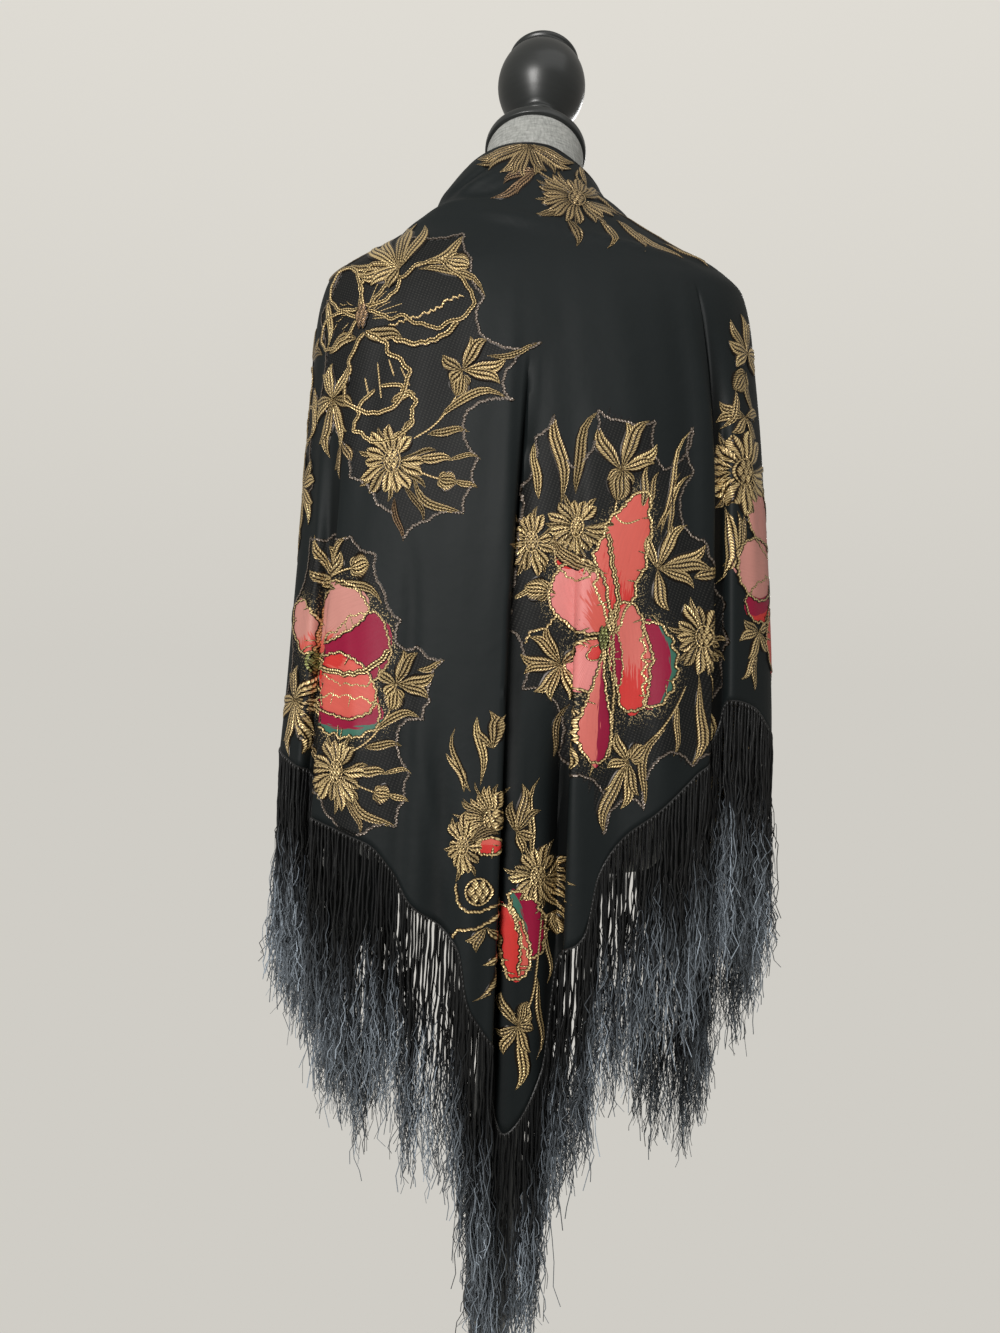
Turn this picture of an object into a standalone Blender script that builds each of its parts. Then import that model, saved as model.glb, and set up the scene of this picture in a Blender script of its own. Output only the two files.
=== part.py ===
"""Embroidered shawl on a dress form.

A square silk shawl, folded on its diagonal, hangs from the shoulders of a
linen-covered dress form: its point falls down the back (-Y), its two ends down
the front (+Y), where it stands open.  A knotted fringe hangs from both short
sides.  The form has a turned neck cap and stands on a turned post and a round
base.  Metres, +Z up, origin on the floor at the middle of the base.
"""

import math

import bmesh
import bpy
import numpy as np
from mathutils import Matrix, Vector

# ---------------------------------------------------------------- shawl cloth
WALL = 0.0013              # thickness of the cloth
RELIEF = 0.0009            # height of the thick embroidery on its outer side
SEAM_GAP = 0.0003          # clearance between pieces that meet
HALF_SPAN = 0.575          # reference way round from the middle of the back to a front edge
COLUMNS = 82               # lines of points from the neck to the hem
ROWS = 27                  # lines of points round the body
ROW_CROWDING = 1.45        # above 1, the rows are closest over the shoulders
COLUMN_CROWDING = 0.9      # how much closer the columns are on a steep fold
STEEPEST = 1.5             # slope of a fold past which its columns get no closer
SECTION_POINTS = 1441      # points worked out round a whole section
NEAR_BACK = 0.02           # depth of the part of a section that lies across the back
REACH_ROUND = 0.0015       # way to each side that a direction round the section is taken over
NORMAL_REACH = (0.002, 0.004)    # the same round and down, for directions away from the body

# Level sections of the cloth: height, half width, middle across, back, front,
# squareness of the curve, and how far the left and right front edges stand
# from the middle.
SECTIONS = (
    # z      half_w  mid_x   back    front  square  left_x right_x
    (1.595,  0.0560, 0.001, -0.036,  0.088,  2.0,   0.050, 0.048),
    (1.575,  0.0700, -0.005, -0.045, 0.082,  2.0,   0.054, 0.050),
    (1.550,  0.0850, -0.006, -0.056, 0.074,  2.0,   0.058, 0.054),
    (1.528,  0.1005, 0.000, -0.066,  0.068,  2.0,   0.062, 0.058),
    (1.508,  0.1245, 0.001, -0.076,  0.064,  2.1,   0.065, 0.061),
    (1.492,  0.1450, 0.007, -0.083,  0.064,  2.1,   0.068, 0.064),
    (1.479,  0.1645, 0.008, -0.089,  0.066,  2.2,   0.070, 0.067),
    (1.466,  0.1855, 0.010, -0.095,  0.070,  2.3,   0.072, 0.070),
    (1.444,  0.2085, 0.008, -0.103,  0.080,  2.6,   0.077, 0.075),
    (1.400,  0.2195, 0.009, -0.112,  0.104,  2.6,   0.082, 0.083),
    (1.300,  0.2285, 0.013, -0.121,  0.142,  2.7,   0.090, 0.098),
    (1.180,  0.2345, 0.016, -0.126,  0.150,  2.7,   0.100, 0.115),
    (1.050,  0.2425, 0.018, -0.128,  0.152,  2.7,   0.108, 0.132),
    (0.900,  0.2500, 0.015, -0.131,  0.155,  2.7,   0.118, 0.150),
    (0.640,  0.2640, 0.014, -0.134,  0.160,  2.7,   0.132, 0.172),
)

# Height of the rolled top edge along the way round.
TOP_EDGE = (
    # s      z
    (-0.575, 1.547),
    (-0.300, 1.582),
    (-0.090, 1.590),
    (0.060, 1.588),
    (0.220, 1.575),
    (0.400, 1.557),
    (0.575, 1.541),
)

# Height of the hem along the way round, from the left front edge, round the
# back, to the right front edge.
HEM = (
    # s      z
    (-0.575, 0.800),
    (-0.535, 0.738),
    (-0.490, 0.805),
    (-0.440, 0.893),
    (-0.380, 0.955),
    (-0.310, 0.982),
    (-0.262, 0.972),
    (-0.238, 0.960),
    (-0.212, 0.922),
    (-0.180, 0.914),
    (-0.145, 0.904),
    (-0.121, 0.883),
    (-0.098, 0.852),
    (-0.062, 0.830),
    (-0.046, 0.812),
    (-0.036, 0.768),
    (-0.014, 0.730),
    (-0.003, 0.658),
    (0.004, 0.646),
    (0.040, 0.700),
    (0.053, 0.806),
    (0.076, 0.832),
    (0.087, 0.884),
    (0.112, 0.920),
    (0.141, 0.942),
    (0.180, 0.976),
    (0.204, 1.002),
    (0.222, 1.046),
    (0.248, 1.040),
    (0.275, 1.020),
    (0.330, 1.000),
    (0.400, 0.955),
    (0.460, 0.868),
    (0.510, 0.775),
    (0.540, 0.738),
    (0.575, 0.800),
)

# Pleats: troughs between two edges.  The edges run from their place at the
# top of the pleat to their place at the hem, and the trough deepens from
# z_top to z_full.  Each edge is rounded, and softer the higher it is.
PLEAT_SOFTNESS = 0.010
PLEATS = (
    # left_top left_hem right_top right_hem z_top z_full depth edge
    (-0.004, -0.010, 0.030, 0.051, 1.300, 0.980, 0.0150, 0.0050),
    (-0.222, -0.240, -0.196, -0.204, 1.400, 1.080, 0.0140, 0.0070),
    (0.196, 0.194, 0.214, 0.219, 1.450, 1.250, 0.0130, 0.0060),
    (-0.372, -0.378, -0.344, -0.336, 1.380, 1.080, 0.0230, 0.0090),
    (-0.478, -0.488, -0.452, -0.448, 1.320, 1.020, 0.0190, 0.0090),
    (0.330, 0.328, 0.362, 0.372, 1.390, 1.100, 0.0230, 0.0090),
    (0.440, 0.446, 0.470, 0.486, 1.290, 1.020, 0.0190, 0.0090),
)

# Soft folds: one rounded ridge (height above 0) or valley (below 0) each.
SOFT_FOLDS = (
    # s_top  s_hem   z_top  z_full  height   half_width
    (0.034, 0.040, 1.020, 0.900, -0.0060, 0.0120),
    (-0.076, -0.072, 1.080, 0.900, -0.0060, 0.0150),
    (-0.040, -0.036, 1.000, 0.850, 0.0050, 0.0130),
    (-0.124, -0.112, 1.240, 1.120, -0.0030, 0.0100),
    (-0.165, -0.160, 1.200, 1.000, 0.0040, 0.0220),
    (0.118, 0.100, 1.260, 0.960, -0.0040, 0.0200),
    (0.150, 0.145, 1.200, 1.020, 0.0030, 0.0180),
    (-0.285, -0.290, 1.380, 1.100, 0.0050, 0.0260),
    (-0.415, -0.412, 1.300, 1.050, 0.0080, 0.0240),
    (-0.535, -0.530, 1.300, 1.050, 0.0070, 0.0240),
    (0.270, 0.272, 1.400, 1.120, 0.0040, 0.0240),
    (0.402, 0.408, 1.300, 1.050, 0.0080, 0.0240),
    (0.525, 0.532, 1.300, 1.050, 0.0070, 0.0240),
)

# Embroidered clusters, as ovals: place along the way round, height, half
# width, half height.  Their outer points are raised, and the relief fades out
# between two shares of the oval.
RELIEF_FADE = (0.85, 1.10)
CLUSTERS = (
    # s      z      half_s half_z
    (0.060, 1.540, 0.200, 0.030),
    (0.230, 1.515, 0.160, 0.024),
    (-0.135, 1.360, 0.085, 0.085),
    (-0.050, 1.350, 0.045, 0.065),
    (-0.160, 1.110, 0.050, 0.100),
    (-0.150, 0.985, 0.040, 0.040),
    (0.110, 1.260, 0.075, 0.090),
    (0.110, 1.080, 0.075, 0.110),
    (0.000, 0.930, 0.045, 0.090),
    (0.015, 0.780, 0.024, 0.060),
    (0.250, 1.280, 0.030, 0.120),
    (-0.290, 1.250, 0.040, 0.110),
    (-0.430, 1.330, 0.050, 0.090),
    (-0.500, 1.060, 0.055, 0.110),
    (-0.515, 0.860, 0.030, 0.070),
    (0.420, 1.340, 0.050, 0.090),
    (0.490, 1.070, 0.055, 0.110),
    (0.515, 0.860, 0.030, 0.070),
)

# --------------------------------------------------------------------- fringe
STRAND_PITCH = 0.0108      # way along the hem from one lock to the next
STRAND_LENGTH = 0.225
STRAND_FILL = 0.42         # share of the pitch that a lock takes up
STRAND_TAPER = 0.55        # width of a lock's end over that of its root
HEADER_DEPTH = 0.0040      # height of the knotted heading
STEEP_GAP = 1.6            # how much wider the gap over the heading is where the hem is steep
SHORTEST_RUN = 0.4         # share of the pitch below which a stretch of heading carries no lock
LENGTH_SPREAD = 0.06       # how much longer or shorter a lock may be than the usual one
# Stretches of fringe: name, start and end along the way round.
FRINGES = (
    ("fringe_front_left", -0.575, -0.420),
    ("fringe_side_left", -0.420, -0.226),
    ("fringe_back_left", -0.226, 0.004),
    ("fringe_back_right", 0.004, 0.206),
    ("fringe_side_right", 0.206, 0.420),
    ("fringe_front_right", 0.420, 0.575),
)

# ----------------------------------------------------------------- dress form
NECK_TILT = math.radians(22)           # forwards
NECK_LEAN = math.radians(3)            # to the right
NECK_TOP = (0.0035, 0.0415, 1.6170)    # middle of the neck's top
TORSO_SIDES = 28
TORSO_RINGS = (
    # z      half_w  back    front  square
    (0.875, 0.1500, -0.0900, 0.0820, 2.1),
    (0.890, 0.1600, -0.0990, 0.0910, 2.2),
    (0.950, 0.1560, -0.0950, 0.0920, 2.2),
    (1.050, 0.1260, -0.0700, 0.0780, 2.1),
    (1.090, 0.1220, -0.0680, 0.0780, 2.1),
    (1.160, 0.1340, -0.0810, 0.0900, 2.2),
    (1.250, 0.1550, -0.0960, 0.1160, 2.3),
    (1.310, 0.1630, -0.1020, 0.1200, 2.3),
    (1.370, 0.1690, -0.1010, 0.0940, 2.3),
    (1.420, 0.1800, -0.0960, 0.0740, 2.3),
    (1.442, 0.1820, -0.0900, 0.0640, 2.2),
    (1.462, 0.1710, -0.0840, 0.0580, 2.1),
    (1.481, 0.1430, -0.0760, 0.0520, 2.0),
    (1.501, 0.1090, -0.0670, 0.0500, 2.0),
    (1.523, 0.0760, -0.0560, 0.0540, 2.0),
    (1.550, 0.0570, -0.0450, 0.0620, 2.0),
)
NECK_RADIUS = 0.0515
NECK_STEPS = (0.040, 0.018, 0.000)     # way down the neck from its top, per ring

CAP_RADIUS = 0.0540
CAP_THICKNESS = 0.0110
CAP_LOWER_EDGE = 0.0015                # chamfer
CAP_UPPER_EDGE = 0.0030                # chamfer
# Turned finial, from its foot on the cap to its crown: radius, height.
FINIAL_PROFILE = (
    (0.0000, 0.0000),
    (0.0300, 0.0000),
    (0.0310, 0.0040),
    (0.0260, 0.0090),
    (0.0170, 0.0160),
    (0.0150, 0.0240),
    (0.0190, 0.0300),
    (0.0250, 0.0340),
    (0.0250, 0.0390),
    (0.0200, 0.0430),
    (0.0280, 0.0500),
    (0.0420, 0.0660),
    (0.0480, 0.0830),
    (0.0485, 0.0970),
    (0.0450, 0.1120),
    (0.0385, 0.1220),
    (0.0370, 0.1250),
    (0.0395, 0.1275),
    (0.0390, 0.1320),
    (0.0270, 0.1400),
    (0.0120, 0.1435),
    (0.0000, 0.1445),
)

# ---------------------------------------------------------------------- stand
# Turned round base, from the floor up: radius, height.
BASE_PROFILE = (
    (0.0000, 0.0000),
    (0.1980, 0.0000),
    (0.2000, 0.0030),
    (0.2000, 0.0180),
    (0.1950, 0.0240),
    (0.1800, 0.0270),
    (0.1750, 0.0330),
    (0.1200, 0.0420),
    (0.0600, 0.0500),
    (0.0400, 0.0560),
    (0.0000, 0.0560),
)
# Turned post, from the base up to the form: radius, height.
POST_PROFILE = (
    (0.0000, 0.0563),
    (0.0340, 0.0563),
    (0.0350, 0.0700),
    (0.0240, 0.0820),
    (0.0200, 0.1000),
    (0.0260, 0.1600),
    (0.0280, 0.2600),
    (0.0240, 0.3500),
    (0.0190, 0.4000),
    (0.0270, 0.4100),
    (0.0290, 0.4200),
    (0.0270, 0.4300),
    (0.0230, 0.4400),
    (0.0280, 0.4700),
    (0.0295, 0.5100),
    (0.0240, 0.6200),
    (0.0190, 0.8000),
    (0.0200, 0.8450),
    (0.0480, 0.8600),
    (0.0480, 0.8747),
    (0.0000, 0.8747),
)
TURNED_STEPS = 20


def clear_scene():
    for thing in list(bpy.data.objects):
        bpy.data.objects.remove(thing, do_unlink=True)


def make_material(name, color, roughness, metallic=0.0):
    material = bpy.data.materials.new(name)
    material.use_nodes = True
    shader = material.node_tree.nodes["Principled BSDF"]
    shader.inputs["Base Color"].default_value = (*color, 1.0)
    shader.inputs["Roughness"].default_value = roughness
    shader.inputs["Metallic"].default_value = metallic
    return material


def add_object(name, mesh, material):
    thing = bpy.data.objects.new(name, mesh)
    mesh.materials.append(material)
    collection.objects.link(thing)
    mesh.shade_smooth()
    mesh.set_sharp_from_angle(angle=math.radians(40))
    return thing


def smooth_curve(table, column, at):
    """Read one column of a table at any place, along a curve with no overshoot."""
    rows = sorted(table)
    places = np.array([row[0] for row in rows])
    values = np.array([row[column] for row in rows])
    steps = np.diff(places)
    slopes = np.diff(values) / steps
    inner = np.where(
        slopes[1:] * slopes[:-1] > 0,
        2 * slopes[1:] * slopes[:-1] / (slopes[1:] + slopes[:-1] + 1e-12),
        0.0,
    )
    tangents = np.concatenate(([slopes[0]], inner, [slopes[-1]]))
    at = np.clip(np.asarray(at, float), places[0], places[-1])
    index = np.clip(np.searchsorted(places, at) - 1, 0, len(steps) - 1)
    t = (at - places[index]) / steps[index]
    return (
        values[index] * (1 + 2 * t) * (1 - t) ** 2
        + tangents[index] * steps[index] * t * (1 - t) ** 2
        + values[index + 1] * t * t * (3 - 2 * t)
        + tangents[index + 1] * steps[index] * t * t * (t - 1)
    )


def ease(low, high, at):
    """0 up to low, 1 from high on, and a soft step between."""
    t = np.clip((at - low) / (high - low), 0.0, 1.0)
    return t * t * (3 - 2 * t)


def section_curve(z):
    """One level section as points and their way round, 0 at the middle of the back."""
    half_w, mid_x, back, front, square, left_x, right_x = (
        float(smooth_curve(SECTIONS, column, z)) for column in range(1, 8)
    )
    turn = np.linspace(-math.pi, math.pi, SECTION_POINTS)
    power = 2.0 / square
    x = half_w * np.sign(np.sin(turn)) * np.abs(np.sin(turn)) ** power
    y = -np.sign(np.cos(turn)) * np.abs(np.cos(turn)) ** power
    y = (back + front) / 2 + y * (front - back) / 2
    at_front = np.abs(turn) > math.pi / 2
    kept = ~at_front | (x < -left_x - mid_x) | (x > right_x - mid_x)
    x, y = x[kept] + mid_x, y[kept]
    way = np.concatenate(([0.0], np.cumsum(np.hypot(np.diff(x), np.diff(y)))))
    across_back = y < back + NEAR_BACK
    way -= np.interp(0.0, x[across_back], way[across_back])
    return x, y, way


def fold_offset(s, z):
    """How far the cloth stands out from its plain section, from pleats and folds."""
    offset = np.zeros_like(s)
    for left_top, left_hem, right_top, right_hem, z_top, z_full, depth, edge in PLEATS:
        down = np.clip((z_top - z) / (z_top - z_full), 0.0, 1.0)
        left = left_top + (left_hem - left_top) * down
        right = right_top + (right_hem - right_top) * down
        soft = edge + PLEAT_SOFTNESS * (1 - down)
        trough = ease(left - soft, left + soft, s) - ease(right - soft, right + soft, s)
        offset -= depth * ease(0.0, 1.0, down) * trough
    for s_top, s_hem, z_top, z_full, height, half_width in SOFT_FOLDS:
        down = np.clip((z_top - z) / (z_top - z_full), 0.0, 1.0)
        middle = s_top + (s_hem - s_top) * down
        offset += height * ease(0.0, 1.0, down) * np.exp(-(((s - middle) / half_width) ** 2))
    return offset


def cloth_point(s, z):
    """Middle of the cloth at way s and heights z, for one s or an array of them."""
    s, z = np.broadcast_arrays(np.asarray(s, float), np.asarray(z, float))
    places = np.empty(s.shape + (3,))
    for index in np.ndindex(s.shape):
        key = round(float(z[index]), 5)
        if key not in section_store:
            section_store[key] = section_curve(key)
        x, y, way = section_store[key]
        share = s[index] / HALF_SPAN
        at = share * (way[-1] if share > 0 else -way[0])
        ends = np.array([at - REACH_ROUND, at, at + REACH_ROUND])
        ends = np.clip(ends, way[0], way[-1])
        px, py = np.interp(ends, way, x), np.interp(ends, way, y)
        along = np.array([px[2] - px[0], py[2] - py[0]])
        along /= np.linalg.norm(along)
        offset = float(fold_offset(np.array([s[index]]), np.array([key]))[0])
        places[index] = (px[1] + along[1] * offset, py[1] - along[0] * offset, key)
    return places


def relief_at(s, z):
    """Height of the embroidery at a place on the cloth."""
    raised = np.zeros_like(s)
    for middle_s, middle_z, half_s, half_z in CLUSTERS:
        reach = np.hypot((s - middle_s) / half_s, (z - middle_z) / half_z)
        raised = np.maximum(raised, 1 - ease(*RELIEF_FADE, reach))
    return RELIEF * raised


def column_places():
    """Ways round of the columns, closer together where the folds are steep."""
    fine = np.linspace(-HALF_SPAN, HALF_SPAN, 2301)
    density = np.ones_like(fine)
    for z in (1.20, 1.00, 0.80):
        steepness = np.abs(np.gradient(fold_offset(fine, np.full_like(fine, z)), fine))
        density += COLUMN_CROWDING * np.minimum(steepness, STEEPEST)
    total = np.concatenate(([0.0], np.cumsum((density[1:] + density[:-1]) / 2)))
    return np.interp(np.linspace(0, total[-1], COLUMNS), total, fine)


def row_shares():
    """Shares of the way from the top edge to the hem, closest over the shoulders."""
    return np.linspace(0.0, 1.0, ROWS) ** ROW_CROWDING


def loft(name, rings, material):
    """A closed body through rings of equal numbers of points, bottom first."""
    shape = bmesh.new()
    loops = [[shape.verts.new(point) for point in ring] for ring in rings]
    count = len(loops[0])
    for low, high in zip(loops, loops[1:]):
        for i in range(count):
            j = (i + 1) % count
            shape.faces.new((low[i], low[j], high[j], high[i]))
    shape.faces.new(list(reversed(loops[0])))
    shape.faces.new(loops[-1])
    bmesh.ops.recalc_face_normals(shape, faces=shape.faces)
    mesh = bpy.data.meshes.new(name)
    shape.to_mesh(mesh)
    shape.free()
    return add_object(name, mesh, material)


def build_cloth(columns):
    """The shawl's wall: a grid laid on the cloth surface, then given its thickness."""
    top = smooth_curve(TOP_EDGE, 1, columns)
    hem = smooth_curve(HEM, 1, columns)
    shares = row_shares()
    heights = top[:, None] + (hem - top)[:, None] * shares[None, :]
    ways = np.repeat(columns[:, None], ROWS, axis=1)
    places = cloth_point(ways, heights)
    outward = surface_normals(ways, heights)
    outer = places + outward * (WALL / 2 + relief_at(ways, heights))[..., None]
    inner = places - outward * WALL / 2

    shape = bmesh.new()
    sheets = []
    for points in (outer, inner):
        sheets.append([[shape.verts.new(p) for p in column] for column in points])
    front, back = sheets
    for i in range(COLUMNS - 1):
        for k in range(ROWS - 1):
            shape.faces.new((front[i][k], front[i][k + 1], front[i + 1][k + 1], front[i + 1][k]))
            shape.faces.new((back[i][k], back[i + 1][k], back[i + 1][k + 1], back[i][k + 1]))
    rim = [(i, 0) for i in range(COLUMNS)]
    rim += [(COLUMNS - 1, k) for k in range(1, ROWS)]
    rim += [(i, ROWS - 1) for i in range(COLUMNS - 2, -1, -1)]
    rim += [(0, k) for k in range(ROWS - 2, 0, -1)]
    for (a, b), (c, d) in zip(rim, rim[1:] + rim[:1]):
        shape.faces.new((front[a][b], front[c][d], back[c][d], back[a][b]))
    bmesh.ops.recalc_face_normals(shape, faces=shape.faces)
    mesh = bpy.data.meshes.new("shawl_cloth")
    shape.to_mesh(mesh)
    shape.free()
    add_object("shawl_cloth", mesh, silk)
    return outer, inner


def surface_normals(ways, heights):
    """Directions away from the body, square to the cloth."""
    step_s, step_z = NORMAL_REACH
    low_s = np.clip(ways - step_s, -HALF_SPAN, HALF_SPAN)
    high_s = np.clip(ways + step_s, -HALF_SPAN, HALF_SPAN)
    across = cloth_point(high_s, heights) - cloth_point(low_s, heights)
    down = cloth_point(ways, heights - step_z) - cloth_point(ways, heights + step_z)
    outward = np.cross(across, -down)
    return outward / np.linalg.norm(outward, axis=-1, keepdims=True)


def build_fringe(name, start, end, columns, outer_hem, inner_hem):
    """One stretch of fringe: a narrow heading under the hem, and locks hanging from it."""
    end_gap = 2 * SEAM_GAP
    inside = (columns > start + end_gap) & (columns < end - end_gap)
    first, last = max(start, columns[0]), min(end, columns[-1])
    stops = np.concatenate(([first], columns[inside], [last]))
    hem_at = [
        np.array([[np.interp(s, columns, line[:, axis]) for axis in range(3)] for s in stops])
        for line in (outer_hem, inner_hem)
    ]
    # cells along the heading: a gap, a lock, a gap and so on, never across a bend
    cells = []
    for i in range(len(stops) - 1):
        length = float(np.linalg.norm(hem_at[0][i + 1] - hem_at[0][i]))
        locks = max(1, round(length / STRAND_PITCH)) if length > SHORTEST_RUN * STRAND_PITCH else 0
        if locks == 0:
            cells.append((i, 0.0, 1.0, False))
            continue
        for n in range(locks):
            low, high = n / locks, (n + 1) / locks
            edge = (1 - STRAND_FILL) / 2 / locks
            cells.append((i, low, low + edge, False))
            cells.append((i, low + edge, high - edge, True))
            cells.append((i, high - edge, high, False))
    merged = []
    for cell in cells:
        same = merged and merged[-1][0] == cell[0] and not merged[-1][3] and not cell[3]
        if same:
            merged[-1] = (cell[0], merged[-1][1], cell[2], False)
        else:
            merged.append(cell)

    def point(side, i, t):
        a, b = hem_at[side][i], hem_at[side][i + 1]
        return a + (b - a) * t

    slope_gap = []
    for i in range(len(stops) - 1):
        run = hem_at[0][i + 1] - hem_at[0][i]
        flat = max(math.hypot(run[0], run[1]), 1e-6)
        slope_gap.append(SEAM_GAP * (1 + STEEP_GAP * abs(run[2]) / flat))

    shape = bmesh.new()
    borders = [(cell[0], cell[1]) for cell in merged] + [(merged[-1][0], merged[-1][2])]
    total = len(borders)
    grid = []
    for n, (i, t) in enumerate(borders):
        drop = max(slope_gap[j] for j in (i - 1, i, i + 1) if 0 <= j < len(slope_gap))
        shift = end_gap if n == 0 and start > -HALF_SPAN else 0.0
        shift = -end_gap if n == total - 1 and end < HALF_SPAN else shift
        along = point(0, i, 1.0) - point(0, i, 0.0)
        along = along / np.linalg.norm(along)
        corners = []
        for side in (0, 1):
            base = point(side, i, t) + along * shift
            corners.append(base - np.array([0, 0, drop]))
            corners.append(base - np.array([0, 0, drop + HEADER_DEPTH]))
        grid.append([shape.verts.new(c) for c in corners])
    for n, cell in enumerate(merged):
        a, b = grid[n], grid[n + 1]
        shape.faces.new((a[0], a[1], b[1], b[0]))
        shape.faces.new((a[2], b[2], b[3], a[3]))
        shape.faces.new((a[0], b[0], b[2], a[2]))
        if not cell[3]:
            shape.faces.new((a[1], a[3], b[3], b[1]))
            continue
        roots = (a[1], a[3], b[3], b[1])
        middle = sum((np.array(v.co) for v in roots), np.zeros(3)) / 4
        wave = math.sin(7.1 * n + 3.0 * start) * 0.5 + math.sin(2.3 * n) * 0.5
        low = middle[2] - STRAND_LENGTH * (1 + LENGTH_SPREAD * wave)
        ends = []
        for v in roots:
            away = (np.array(v.co) - middle) * STRAND_TAPER
            ends.append(shape.verts.new((middle[0] + away[0], middle[1] + away[1], low)))
        for k in range(4):
            m = (k + 1) % 4
            shape.faces.new((roots[k], roots[m], ends[m], ends[k]))
        shape.faces.new(ends)
    for edge in (grid[0], grid[-1]):
        shape.faces.new((edge[0], edge[2], edge[3], edge[1]))
    bmesh.ops.recalc_face_normals(shape, faces=shape.faces)
    mesh = bpy.data.meshes.new(name)
    shape.to_mesh(mesh)
    shape.free()
    add_object(name, mesh, fringe_silk)


def build_torso():
    """Linen-covered form: level rings up to the neck, then rings that tilt with it."""
    angles = np.linspace(0, 2 * math.pi, TORSO_SIDES, endpoint=False)
    rings = []
    for z, half_w, back, front, square in TORSO_RINGS:
        power = 2.0 / square
        x = half_w * np.sign(np.cos(angles)) * np.abs(np.cos(angles)) ** power
        y = np.sign(np.sin(angles)) * np.abs(np.sin(angles)) ** power
        y = (back + front) / 2 + y * (front - back) / 2
        rings.append([(px, py, z) for px, py in zip(x, y)])
    for down in NECK_STEPS:
        rings.append([
            neck_frame @ Vector((NECK_RADIUS * math.cos(a), NECK_RADIUS * math.sin(a), -down))
            for a in angles
        ])
    return loft("form_torso", rings, linen)


def build_turned(name, profile, material, frame=None):
    """A turned piece: its profile spun round the upright axis, top to bottom."""
    shape = bmesh.new()
    corners = [shape.verts.new((r, 0.0, z)) for r, z in reversed(profile)]
    for a, b in zip(corners, corners[1:]):
        shape.edges.new((a, b))
    mesh = bpy.data.meshes.new(name)
    shape.to_mesh(mesh)
    shape.free()
    thing = add_object(name, mesh, material)
    spin = thing.modifiers.new("turning", "SCREW")
    spin.steps = TURNED_STEPS
    spin.render_steps = TURNED_STEPS
    spin.use_merge_vertices = True
    spin.merge_threshold = 0.0001
    if frame is not None:
        thing.location = frame.to_translation()
        thing.rotation_euler = frame.to_euler()
    return thing


def above_neck(way):
    """The neck's own frame, moved up its axis from the neck's top."""
    return neck_frame @ Matrix.Translation((0.0, 0.0, way))


clear_scene()
collection = bpy.data.collections.new("embroidered_shawl_on_dress_form")
bpy.context.scene.collection.children.link(collection)
section_store = {}
neck_frame = (
    Matrix.Translation(NECK_TOP)
    @ Matrix.Rotation(NECK_LEAN, 4, "Y")
    @ Matrix.Rotation(-NECK_TILT, 4, "X")
)

silk = make_material("black_silk", (0.013, 0.017, 0.019), 0.62)
fringe_silk = make_material("fringe_silk", (0.035, 0.045, 0.055), 0.50)
linen = make_material("grey_linen", (0.40, 0.41, 0.39), 0.90)
black_wood = make_material("black_wood", (0.020, 0.021, 0.022), 0.32)

column_ways = column_places()
outer_points, inner_points = build_cloth(column_ways)
for fringe_name, fringe_start, fringe_end in FRINGES:
    build_fringe(
        fringe_name, fringe_start, fringe_end, column_ways, outer_points[:, -1], inner_points[:, -1]
    )

build_torso()
cap_profile = (
    (0.0, 0.0),
    (CAP_RADIUS - CAP_LOWER_EDGE, 0.0),
    (CAP_RADIUS, CAP_LOWER_EDGE),
    (CAP_RADIUS, CAP_THICKNESS - CAP_UPPER_EDGE),
    (CAP_RADIUS - CAP_UPPER_EDGE, CAP_THICKNESS),
    (0.0, CAP_THICKNESS),
)
build_turned("neck_cap", cap_profile, black_wood, above_neck(SEAM_GAP))
build_turned("finial", FINIAL_PROFILE, black_wood, above_neck(CAP_THICKNESS + 2 * SEAM_GAP))
build_turned("stand_post", POST_PROFILE, black_wood)
build_turned("stand_base", BASE_PROFILE, black_wood)
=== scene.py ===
import math

import bmesh
import bpy
import numpy as np
from mathutils import Matrix, Vector


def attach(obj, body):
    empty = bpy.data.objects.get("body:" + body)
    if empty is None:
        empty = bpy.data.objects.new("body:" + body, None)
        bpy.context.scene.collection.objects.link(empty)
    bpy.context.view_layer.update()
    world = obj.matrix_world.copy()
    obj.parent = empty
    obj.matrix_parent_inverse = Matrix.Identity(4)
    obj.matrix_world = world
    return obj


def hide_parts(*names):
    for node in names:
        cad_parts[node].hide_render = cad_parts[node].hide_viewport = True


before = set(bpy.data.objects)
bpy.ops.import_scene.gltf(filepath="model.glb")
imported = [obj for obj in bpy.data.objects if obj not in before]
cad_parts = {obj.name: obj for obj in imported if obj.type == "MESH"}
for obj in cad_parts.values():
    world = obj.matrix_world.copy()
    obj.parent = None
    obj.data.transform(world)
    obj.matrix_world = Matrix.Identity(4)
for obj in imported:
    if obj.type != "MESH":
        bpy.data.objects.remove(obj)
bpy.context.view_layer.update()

# ------------------------------------------------------------------- camera
# The form stands close to the camera, seen from behind at chest height with a
# wide lens that is held a little crooked.
CAMERA_PLACE = (-0.014, -1.030, 1.070)
CAMERA_LENS = 27.03
CAMERA_SENSOR = 36
CAMERA_NEAREST = 0.02
CAMERA_ROLL = math.radians(2.1)
camera = bpy.data.objects.new("camera", bpy.data.cameras.new("camera"))
bpy.context.scene.collection.objects.link(camera)
camera.data.lens = CAMERA_LENS
camera.data.sensor_width = CAMERA_SENSOR
camera.data.clip_start = CAMERA_NEAREST
camera.matrix_world = (
    Matrix.Translation(CAMERA_PLACE)
    @ Matrix.Rotation(math.radians(90), 4, "X")
    @ Matrix.Rotation(CAMERA_ROLL, 4, "Z")
)
bpy.context.scene.camera = camera


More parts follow.
